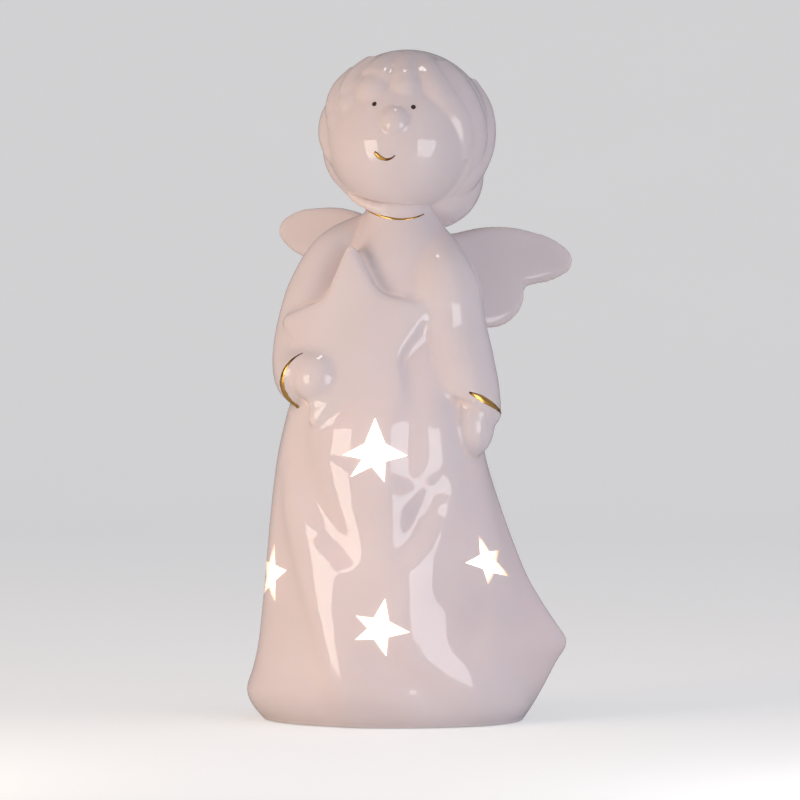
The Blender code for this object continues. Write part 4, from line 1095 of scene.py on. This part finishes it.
@dataclass
class AngelHead:
    """The head: skull, nose and hair in soft locks.

    A fringe row is an azimuth and an elevation on the face's ball, the lock's half-width there, and how far
    it stands out. A lock row is the same on the hair's ball, which it doesn't stand out from.
    """

    voxel: float = 0.00058
    roll: float = 9.0
    centre: Triple = (0.0032, -0.0025, 0.1892)
    radius: float = 0.0254
    nose: tuple[float, float] = (2.0, 8.5)
    nose_radius: float = 0.0060
    nose_sink: float = 0.0041
    hair_centre: Triple = (0.0041, 0.0000, 0.1905)
    hair_radius: float = 0.0290
    hairline: tuple[float, float] = (2.0, -16.0)
    hairline_share: float = 0.46
    groove_depth: float = 0.0018
    nape_centre: Triple = (0.0102, 0.0052, 0.1768)
    nape_radii: Triple = (0.0180, 0.0165, 0.0175)
    fringe: tuple[tuple[tuple[float, ...], ...], ...] = (
        (
            (-4, 76, 0.0070, 0.0036), (-1, 60, 0.0072, 0.0032),
            (3, 47, 0.0072, 0.0027), (5, 41, 0.0068, 0.0022),
        ),
        (
            (-30, 74, 0.0092, 0.0036), (-30, 54, 0.0096, 0.0032),
            (-27, 42, 0.0095, 0.0028), (-27, 34, 0.0084, 0.0021),
        ),
        (
            (-62, 60, 0.0082, 0.0035), (-57, 42, 0.0080, 0.0031),
            (-50, 29, 0.0074, 0.0026), (-46, 20, 0.0064, 0.0018),
        ),
        (
            (-90, 44, 0.0078, 0.0035), (-76, 28, 0.0072, 0.0031),
            (-65, 14, 0.0066, 0.0025), (-59, 5, 0.0056, 0.0016),
        ),
        (
            (-104, 22, 0.0076, 0.0034), (-90, 6, 0.0070, 0.0029),
            (-78, -8, 0.0062, 0.0023), (-72, -20, 0.0052, 0.0014),
        ),
        (
            (-108, -4, 0.0070, 0.0028), (-96, -22, 0.0065, 0.0022),
            (-86, -38, 0.0058, 0.0016), (-82, -52, 0.0050, 0.0010),
        ),
        (
            (26, 75, 0.0082, 0.0036), (30, 56, 0.0084, 0.0034),
            (38, 42, 0.0078, 0.0030), (50, 29, 0.0068, 0.0024),
        ),
        (
            (46, 33, 0.0070, 0.0026), (57, 20, 0.0064, 0.0024),
            (64, 6, 0.0056, 0.0018), (68, -6, 0.0048, 0.0010),
        ),
        (
            (60, 68, 0.0085, 0.0040), (62, 50, 0.0090, 0.0040),
            (68, 34, 0.0086, 0.0038), (74, 19, 0.0080, 0.0035),
        ),
        (
            (76, 18, 0.0080, 0.0036), (80, 4, 0.0072, 0.0031),
            (82, -10, 0.0064, 0.0024), (82, -22, 0.0054, 0.0014),
        ),
    )
    locks: tuple[tuple[tuple[float, ...], ...], ...] = (
        (
            (110, 50, 0.0050), (100, 26, 0.0066),
            (92, 4, 0.0072), (86, -14, 0.0074),
            (82, -32, 0.0072), (82, -50, 0.0050),
        ),
        ((128, 50, 0.0055), (122, 20, 0.0070), (116, -8, 0.0078), (110, -32, 0.0080), (104, -50, 0.0072)),
        ((138, 64, 0.0045), (136, 30, 0.0060), (132, -4, 0.0058), (126, -42, 0.0030)),
        ((166, 66, 0.0045), (164, 32, 0.0060), (162, -4, 0.0058), (160, -44, 0.0030)),
        ((194, 66, 0.0045), (194, 32, 0.0060), (194, -4, 0.0058), (194, -44, 0.0030)),
        ((222, 64, 0.0045), (224, 30, 0.0060), (226, -4, 0.0058), (226, -42, 0.0030)),
        ((248, 60, 0.0045), (252, 26, 0.0058), (254, -6, 0.0054), (254, -38, 0.0028)),
    )

    def on_ball(self, azimuth: float, elevation: float, radius: float, centre: Triple) -> Vector:
        """A point on a ball about a centre, seen from the leaning head's own front."""
        up = math.radians(elevation)
        direction = outward(azimuth) * math.cos(up) + Vector((0.0, 0.0, math.sin(up)))
        return leaning(Vector(centre), self.roll) @ (direction * radius)

    def hair_cap(self) -> bpy.types.Object:
        """Models the hair as a ball that is cut open in front of the face.

        Returns:
            The cap.
        """
        deselect_all()
        radius = self.hair_radius - self.groove_depth
        bpy.ops.mesh.primitive_uv_sphere_add(segments=96, ring_count=64, radius=radius)
        obj = named("hair_cap")
        azimuth, elevation = self.hairline
        up = math.radians(elevation)
        facing = outward(azimuth) * math.cos(up) + Vector((0.0, 0.0, math.sin(up)))
        slice_off(obj, facing * self.hair_radius * self.hairline_share, facing)
        obj.data.transform(leaning(Vector(self.hair_centre), self.roll))
        return obj

    def lock(self, name: str, points: list[Vector], radii: list[float]) -> bpy.types.Object:
        """Models one lock of hair with a round tip.

        Args:
            name: The lock's name.
            points: Its middle line from root to tip.
            radii: Its half-width at each point.

        Returns:
            The lock.
        """
        tip = ball("lock_tip", points[-1], (radii[-1],) * 3, segments=48)
        return join(name, [tube("lock", points, radii), tip])

    def hair(self) -> list[bpy.types.Object]:
        """Models the soft lobes over the forehead and the locks behind them.

        Returns:
            The locks.
        """
        made = []
        for number, stations in enumerate(self.fringe, 1):
            points = [self.on_ball(a, e, self.radius + lift - r, self.centre) for a, e, r, lift in stations]
            made.append(self.lock(f"fringe_{number}", points, [station[2] for station in stations]))
        for number, stations in enumerate(self.locks, 1):
            points = [self.on_ball(a, e, self.hair_radius - r, self.hair_centre) for a, e, r in stations]
            made.append(self.lock(f"lock_{number}", points, [station[2] for station in stations]))
        return made

    def build(self) -> bpy.types.Object:
        """Models the head.

        Returns:
            The head. It has no point attribute named depth, so the glaze reads a depth of 0 all over it.
        """
        nose = self.on_ball(*self.nose, self.radius - self.nose_sink, self.centre)
        pieces = [
            ball("skull", Vector(self.centre), (self.radius,) * 3),
            ball("nose", nose, (self.nose_radius,) * 3),
            self.hair_cap(),
            ball("nape", Vector(self.nape_centre), self.nape_radii),
        ]
        head = join("angel_head", pieces + self.hair())
        remesh(head, self.voxel)
        soften(head, 3)
        select_only(head)
        bpy.ops.object.shade_smooth_by_angle(angle=math.radians(60.0))
        return head


# Paint


@dataclass
class Painter:
    """Lays gold lines and painted eyes on the finished glaze."""

    head: AngelHead
    body: AngelBody
    skins: list[bpy.types.Object]
    lift: float = 0.00006
    film: float = 0.00012
    mouth: Path = ((-9.5, -16.4), (-8.0, -18.0), (-5.0, -20.0), (0.0, -21.0), (4.0, -19.4), (6.5, -16.8))
    mouth_widths: tuple[float, ...] = (0.0006, 0.0013, 0.0014, 0.0009, 0.0005, 0.0003)
    eyes: tuple[tuple[str, float, float], ...] = (("right_eye", -16.0, 18.0), ("left_eye", 14.5, 20.0))
    eye_radius: float = 0.00078
    eye_height: float = 0.0002
    ray_start: float = 0.05

    def __post_init__(self) -> None:
        """Builds the search trees over the glaze."""
        graph = bpy.context.evaluated_depsgraph_get()
        self.trees = [BVHTree.FromObject(skin, graph) for skin in self.skins]

    def touch(self, start: Vector, towards: Vector) -> tuple[Vector, Vector]:
        """The first point of the glaze along a ray, and the glaze's direction there.

        Args:
            start: Where the ray starts.
            towards: The way that it goes.

        Returns:
            The point and the direction.
        """
        found = [tree.ray_cast(start, towards) for tree in self.trees]
        hits = [hit for hit in found if hit[0] is not None]
        nearest = min(hits, key=lambda hit: hit[3])
        return nearest[0], nearest[1]

    def stroke(self, name: str, rays: list[tuple[Vector, Vector]], widths: list[float]) -> bpy.types.Object:
        """Lays one brush stroke: a thin strip that follows the glaze and swells and tapers with the brush.

        Args:
            name: The stroke's name.
            rays: A ray to the glaze for each step along the stroke.
            widths: The stroke's width at each step.

        Returns:
            The stroke.
        """
        hits = [self.touch(start, towards) for start, towards in rays]
        deselect_all()
        bpy.ops.mesh.primitive_grid_add(x_subdivisions=len(hits) - 1, y_subdivisions=4, size=1.0)
        obj = named(name)
        film = obj.data.attributes.new("film", "FLOAT", "POINT")
        columns: dict[int, list[bpy.types.MeshVertex]] = {}
        for vert in obj.data.vertices:
            columns.setdefault(round((vert.co.x + 0.5) * (len(hits) - 1)), []).append(vert)
        for index, (place, normal) in enumerate(hits):
            ahead = hits[min(index + 1, len(hits) - 1)][0] - hits[max(index - 1, 0)][0]
            across = normal.cross(ahead).normalized()
            start, towards = rays[index]
            for vert in columns[index]:
                share = vert.co.y * 2.0
                offset = across * share * widths[index] / 2
                hit, glaze = self.touch(start + offset, towards)
                dome = self.lift + self.film * math.sqrt(max(0.0, 1.0 - share * share))
                vert.co = hit + glaze * dome
                film.data[vert.index].value = widths[index] / max(widths)
        thick = obj.modifiers.new("film", "SOLIDIFY")
        thick.thickness = self.film
        thick.offset = -1.0
        apply_modifiers(obj)
        weld(obj)
        select_only(obj)
        bpy.ops.object.shade_smooth_by_angle(angle=math.radians(60.0))
        return obj

    def along(self, path: Path, widths: tuple[float, ...], steps: int) -> list[tuple[float, float, float]]:
        """Places and widths along a drawn line.

        Args:
            path: The line's corners.
            widths: The width at each corner.
            steps: How many steps each span has.

        Returns:
            The two coordinates and the width at every step.
        """
        stations = tuple((float(k), *place, width) for k, (place, width) in enumerate(zip(path, widths)))
        count = steps * (len(path) - 1)
        return [between(stations, k / steps) for k in range(count + 1)]

    def smile(self) -> bpy.types.Object:
        """Paints the mouth."""
        centre = Vector(self.head.centre)
        rays, widths = [], []
        for azimuth, elevation, width in self.along(self.mouth, self.mouth_widths, 6):
            start = self.head.on_ball(azimuth, elevation, self.ray_start, self.head.centre)
            rays.append((start, (centre - start).normalized()))
            widths.append(width)
        return self.stroke("mouth_line", rays, widths)

    def ring_line(
        self,
        name: str,
        centre: Vector,
        axes: tuple[Vector, Vector],
        reach: float,
        path: Path,
        widths: tuple[float, ...],
    ) -> bpy.types.Object:
        """Paints part of a line round a cuff or the collar.

        Args:
            name: The line's name.
            centre: The middle that the line goes round.
            axes: The directions at 0 and at 90 degrees.
            reach: How far out the rays start.
            path: Angles in degrees with how far the line is shifted along the axis there.
            widths: The line's width at each of them.

        Returns:
            The line.
        """
        along = axes[0].cross(axes[1])
        rays, kept = [], []
        for angle, shift, width in self.along(path, widths, 8):
            turn = math.radians(angle)
            ray = axes[0] * math.cos(turn) + axes[1] * math.sin(turn)
            rays.append((centre + along * shift + ray * reach, -ray))
            kept.append(width)
        return self.stroke(name, rays, kept)

    def neckline(self) -> bpy.types.Object:
        """Paints the line at the foot of the collar."""
        tilt = self.body.collar_frame()
        centre = tilt @ Vector((0.0, 0.0, -self.body.collar_thickness))
        turned = tilt.to_3x3()
        axes = (turned @ outward(0.0), turned @ outward(90.0))
        path = ((-72.0, 0.0), (-35.0, 0.0), (0.0, 0.0), (30.0, 0.0), (48.0, 0.0))
        return self.ring_line("neckline", centre, axes, 0.024, path, (0.0003, 0.0006, 0.0007, 0.0006, 0.0003))

    def cuff(self, side: Side) -> bpy.types.Object:
        """Paints the line round the free side of a cuff.

        Args:
            side: The arm's side.

        Returns:
            The line.
        """
        centre, along = self.body.cuff_plane(side)
        first = outward(10.0 if side is Side.LEFT else -90.0)
        first = (first - along * first.dot(along)).normalized()
        axes = (first, along.cross(first) * -side.value)
        radius = (self.body.left_sleeve if side is Side.LEFT else self.body.right_sleeve)[-1][1]
        if side is Side.LEFT:
            path = ((-4.0, 0.0), (14.0, 0.0), (40.0, 0.0), (70.0, 0.0), (100.0, 0.0))
            widths = (0.0005, 0.0019, 0.0018, 0.0011, 0.0004)
        else:
            path = ((-80.0, 0.0), (-40.0, 0.0), (10.0, 0.0), (62.0, 0.0))
            widths = (0.0003, 0.0011, 0.0018, 0.0016)
        setback = 0.0026 if side is Side.LEFT else 0.0010
        name = f"{side.name.lower()}_cuff_line"
        return self.ring_line(name, centre - along * setback, axes, radius * 1.9, path, widths)

    def eye(self, name: str, azimuth: float, elevation: float) -> bpy.types.Object:
        """Paints one eye, a low round dot.

        Args:
            name: The eye's name.
            azimuth: Its azimuth on the head.
            elevation: Its elevation on the head.

        Returns:
            The dot.
        """
        start = self.head.on_ball(azimuth, elevation, self.ray_start, self.head.centre)
        hit, normal = self.touch(start, (Vector(self.head.centre) - start).normalized())
        turn = normal.to_track_quat("Z", "Y").to_matrix().to_4x4()
        dot = ball(name, hit, (self.eye_radius, self.eye_radius, self.eye_height), turn, 32)
        select_only(dot)
        bpy.ops.object.shade_smooth()
        return dot


# The studio


@dataclass(frozen=True)
class Lamp:
    """A rectangular lamp: where it stands, its size and its light."""

    name: str
    azimuth: float
    distance: float
    height: float
    size: tuple[float, float]
    power: float
    colour: Triple
    aim: float
    mirrored: bool


@dataclass
class Studio:
    """A pale floor and backdrop, soft lamps and the camera."""

    shift: Vector
    azimuth: float = 10.0
    distance: float = 1.1
    height: float = 0.1037
    sideways: float = 0.0016
    lens: float = 151.9
    floor_colour: Triple = (0.66, 0.66, 0.66)
    paper_lift: float = 0.40
    paper_size: float = 5.0
    paper_height: float = 3.0
    paper_bend: float = 1.4
    paper_place: Triple = (0.0, 0.4, -0.0003)
    air: float = 0.42
    air_colour: Triple = (0.80, 0.80, 0.86)
    lamps: tuple[Lamp, ...] = (
        Lamp("left_window", -37.5, 0.32, 0.076, (0.112, 0.148), 0.26, (1.0, 0.90, 0.78), 0.076, True),
        Lamp("right_window", 44.0, 0.32, 0.076, (0.142, 0.148), 0.25, (0.95, 0.96, 1.0), 0.076, True),
        Lamp("top_window", 0.0, 0.10, 0.64, (0.08, 0.08), 0.16, (1.0, 0.97, 0.94), 0.20, True),
        Lamp("left_fill", -52.0, 1.3, 0.42, (0.9, 0.9), 7.6, (1.0, 0.70, 0.46), 0.11, False),
        Lamp("right_fill", 80.0, 1.4, 0.50, (0.9, 0.9), 4.2, (0.86, 0.88, 1.0), 0.11, False),
    )

    def build_camera(self) -> None:
        """Places the camera level, at the photograph's angle."""
        turn = math.radians(self.azimuth)
        right = Vector((math.cos(turn), math.sin(turn), 0.0))
        back = outward(self.azimuth)
        level = Vector((0.0, 0.0, self.height))
        deselect_all()
        bpy.ops.object.camera_add(
            location=self.shift + right * self.sideways + back * self.distance + level,
            rotation=(math.radians(90.0), 0.0, turn),
        )
        camera = named("camera")
        camera.data.lens = self.lens
        camera.data.sensor_width = 36.0
        bpy.context.scene.camera = camera

    def build_floor(self) -> None:
        """Lays pale paper that curves up behind the figure."""
        deselect_all()
        bpy.ops.mesh.primitive_plane_add(size=self.paper_size, location=self.paper_place)
        floor = settle(named("floor"))
        for edge in floor.data.edges:
            edge.select = all(floor.data.vertices[k].co.y > 0.0 for k in edge.vertices)
        for vert in floor.data.vertices:
            vert.select = vert.co.y > 0.0
        floor.data.polygons[0].select = False
        bpy.ops.object.mode_set(mode="EDIT")
        rise = (0.0, 0.0, self.paper_height)
        bpy.ops.mesh.extrude_region_move(TRANSFORM_OT_translate={"value": rise})
        bpy.ops.object.mode_set(mode="OBJECT")
        sweep = floor.modifiers.new("sweep", "BEVEL")
        sweep.width = self.paper_bend
        sweep.segments = 32
        apply_modifiers(floor)
        bpy.ops.object.shade_smooth()
        finish = Finish("studio_paper")
        finish.set(Roughness=0.9)
        finish.shader.inputs["Emission Color"].default_value = (1.0, 1.0, 1.0, 1.0)
        seen = finish.node("ShaderNodeLightPath").outputs["Is Camera Ray"]
        finish.link(finish.spread(seen, 0.0, self.paper_lift), finish.shader.inputs["Emission Strength"])
        shade = tuple(0.985 * c for c in self.floor_colour)
        colour = finish.ramp(finish.noise(9.0), (0.3, shade), (0.7, self.floor_colour))
        finish.link(colour, finish.shader.inputs["Base Color"])
        finish.dress(floor)

    def build_lamp(self, lamp: Lamp) -> None:
        """Adds a soft rectangular lamp that faces the figure."""
        deselect_all()
        aim = self.shift + Vector((0.0, 0.0, lamp.aim))
        place = self.shift + outward(lamp.azimuth) * lamp.distance + Vector((0.0, 0.0, lamp.height))
        bpy.ops.object.light_add(type="AREA", location=place)
        obj = named(lamp.name)
        obj.data.shape = "RECTANGLE"
        obj.data.size, obj.data.size_y = lamp.size
        obj.data.energy = lamp.power
        obj.data.color = lamp.colour
        obj.rotation_euler = (aim - place).to_track_quat("-Z", "Y").to_euler()
        obj.visible_glossy = lamp.mirrored

    def build_air(self) -> None:
        """Sets the light that comes from all round."""
        world = bpy.data.worlds.new("studio_air")
        bpy.context.scene.world = world
        world.use_nodes = True
        background = world.node_tree.nodes["Background"]
        background.inputs["Color"].default_value = (*self.air_colour, 1.0)
        background.inputs["Strength"].default_value = self.air
        bpy.context.scene.view_settings.view_transform = "Standard"

    def build(self) -> None:
        """Builds the whole studio."""
        self.build_camera()
        self.build_floor()
        self.build_air()
        for lamp in self.lamps:
            self.build_lamp(lamp)


class LedAngel:
    """Builds every piece in order and ties it to the frame."""

    def __init__(self) -> None:
        """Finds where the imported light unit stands."""
        low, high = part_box("light_cup")
        self.shift = Vector(((low[0] + high[0]) / 2, (low[1] + high[1]) / 2, 0.0))

    def finish_piece(self, obj: bpy.types.Object, finish: Finish, node: str) -> None:
        """Dresses a new piece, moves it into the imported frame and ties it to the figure's body.

        Args:
            obj: The piece.
            finish: Its finish.
            node: The CAD node that it stands for.
        """
        obj.data.transform(Matrix.Translation(self.shift))
        finish.dress(obj)
        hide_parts(node)
        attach(obj, BODY)
        LOG.info("built %s with %d faces", obj.name, len(obj.data.polygons))

    def dress_light(self) -> None:
        """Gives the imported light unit's nodes their finishes."""
        finishes = {
            ("grip_ring",): Moulded("clear_rubber", (0.78, 0.78, 0.76), 0.5, see_through=0.15),
            ("light_cup", "light_base", "battery_door"): Moulded("white_plastic", (0.80, 0.80, 0.78)),
            ("battery_door_screw", "case_screw_1", "case_screw_2"): Plated("zinc_steel", (0.62, 0.62, 0.63)),
            ("coin_cell",): Plated("cell_steel", (0.72, 0.72, 0.73), 0.2),
            ("positive_contact", "negative_contact"): Plated("nickel_strip", (0.70, 0.68, 0.62)),
            ("circuit_board",): Moulded("green_board", (0.04, 0.22, 0.09), 0.35, 500.0),
            ("led",): Moulded("warm_led", (1.0, 0.90, 0.68), 0.12, see_through=0.6),
            ("resistor",): Moulded("resistor_tan", (0.66, 0.50, 0.30)),
            ("switch_frame",): Plated("tinned_steel", (0.64, 0.64, 0.64), 0.3),
            ("switch_slider",): Moulded("black_plastic", (0.02, 0.02, 0.02), 0.4),
        }
        for names, finish in finishes.items():
            built = finish.build()
            built.dress(*(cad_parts[name] for name in names))

    def build(self) -> None:
        """Builds the figure, its paint and the light's finishes."""
        body_maker = AngelBody()
        head_maker = AngelHead()
        porcelain = GlazedPorcelain().build()
        gold = GoldLustre().build()
        enamel = EyeEnamel().build()
        body = body_maker.build()
        head = head_maker.build()
        painter = Painter(head_maker, body_maker, [body, head])
        lines = [painter.smile(), painter.neckline(), painter.cuff(Side.RIGHT), painter.cuff(Side.LEFT)]
        eyes = [painter.eye(*eye) for eye in painter.eyes]
        for piece in (body, head):
            self.finish_piece(piece, porcelain, "angel_figure")
        for line, node in zip(lines, GILDED):
            self.finish_piece(line, gold, node)
        for eye, (node, _, _) in zip(eyes, painter.eyes):
            eye.name = f"{node}_dot"
            self.finish_piece(eye, enamel, node)
        self.dress_light()
        Studio(self.shift).build()


def main() -> None:
    """Builds the visual model."""
    logging.basicConfig(level=logging.INFO, format="%(name)s: %(message)s")
    LedAngel().build()


if __name__ == "__main__":
    main()
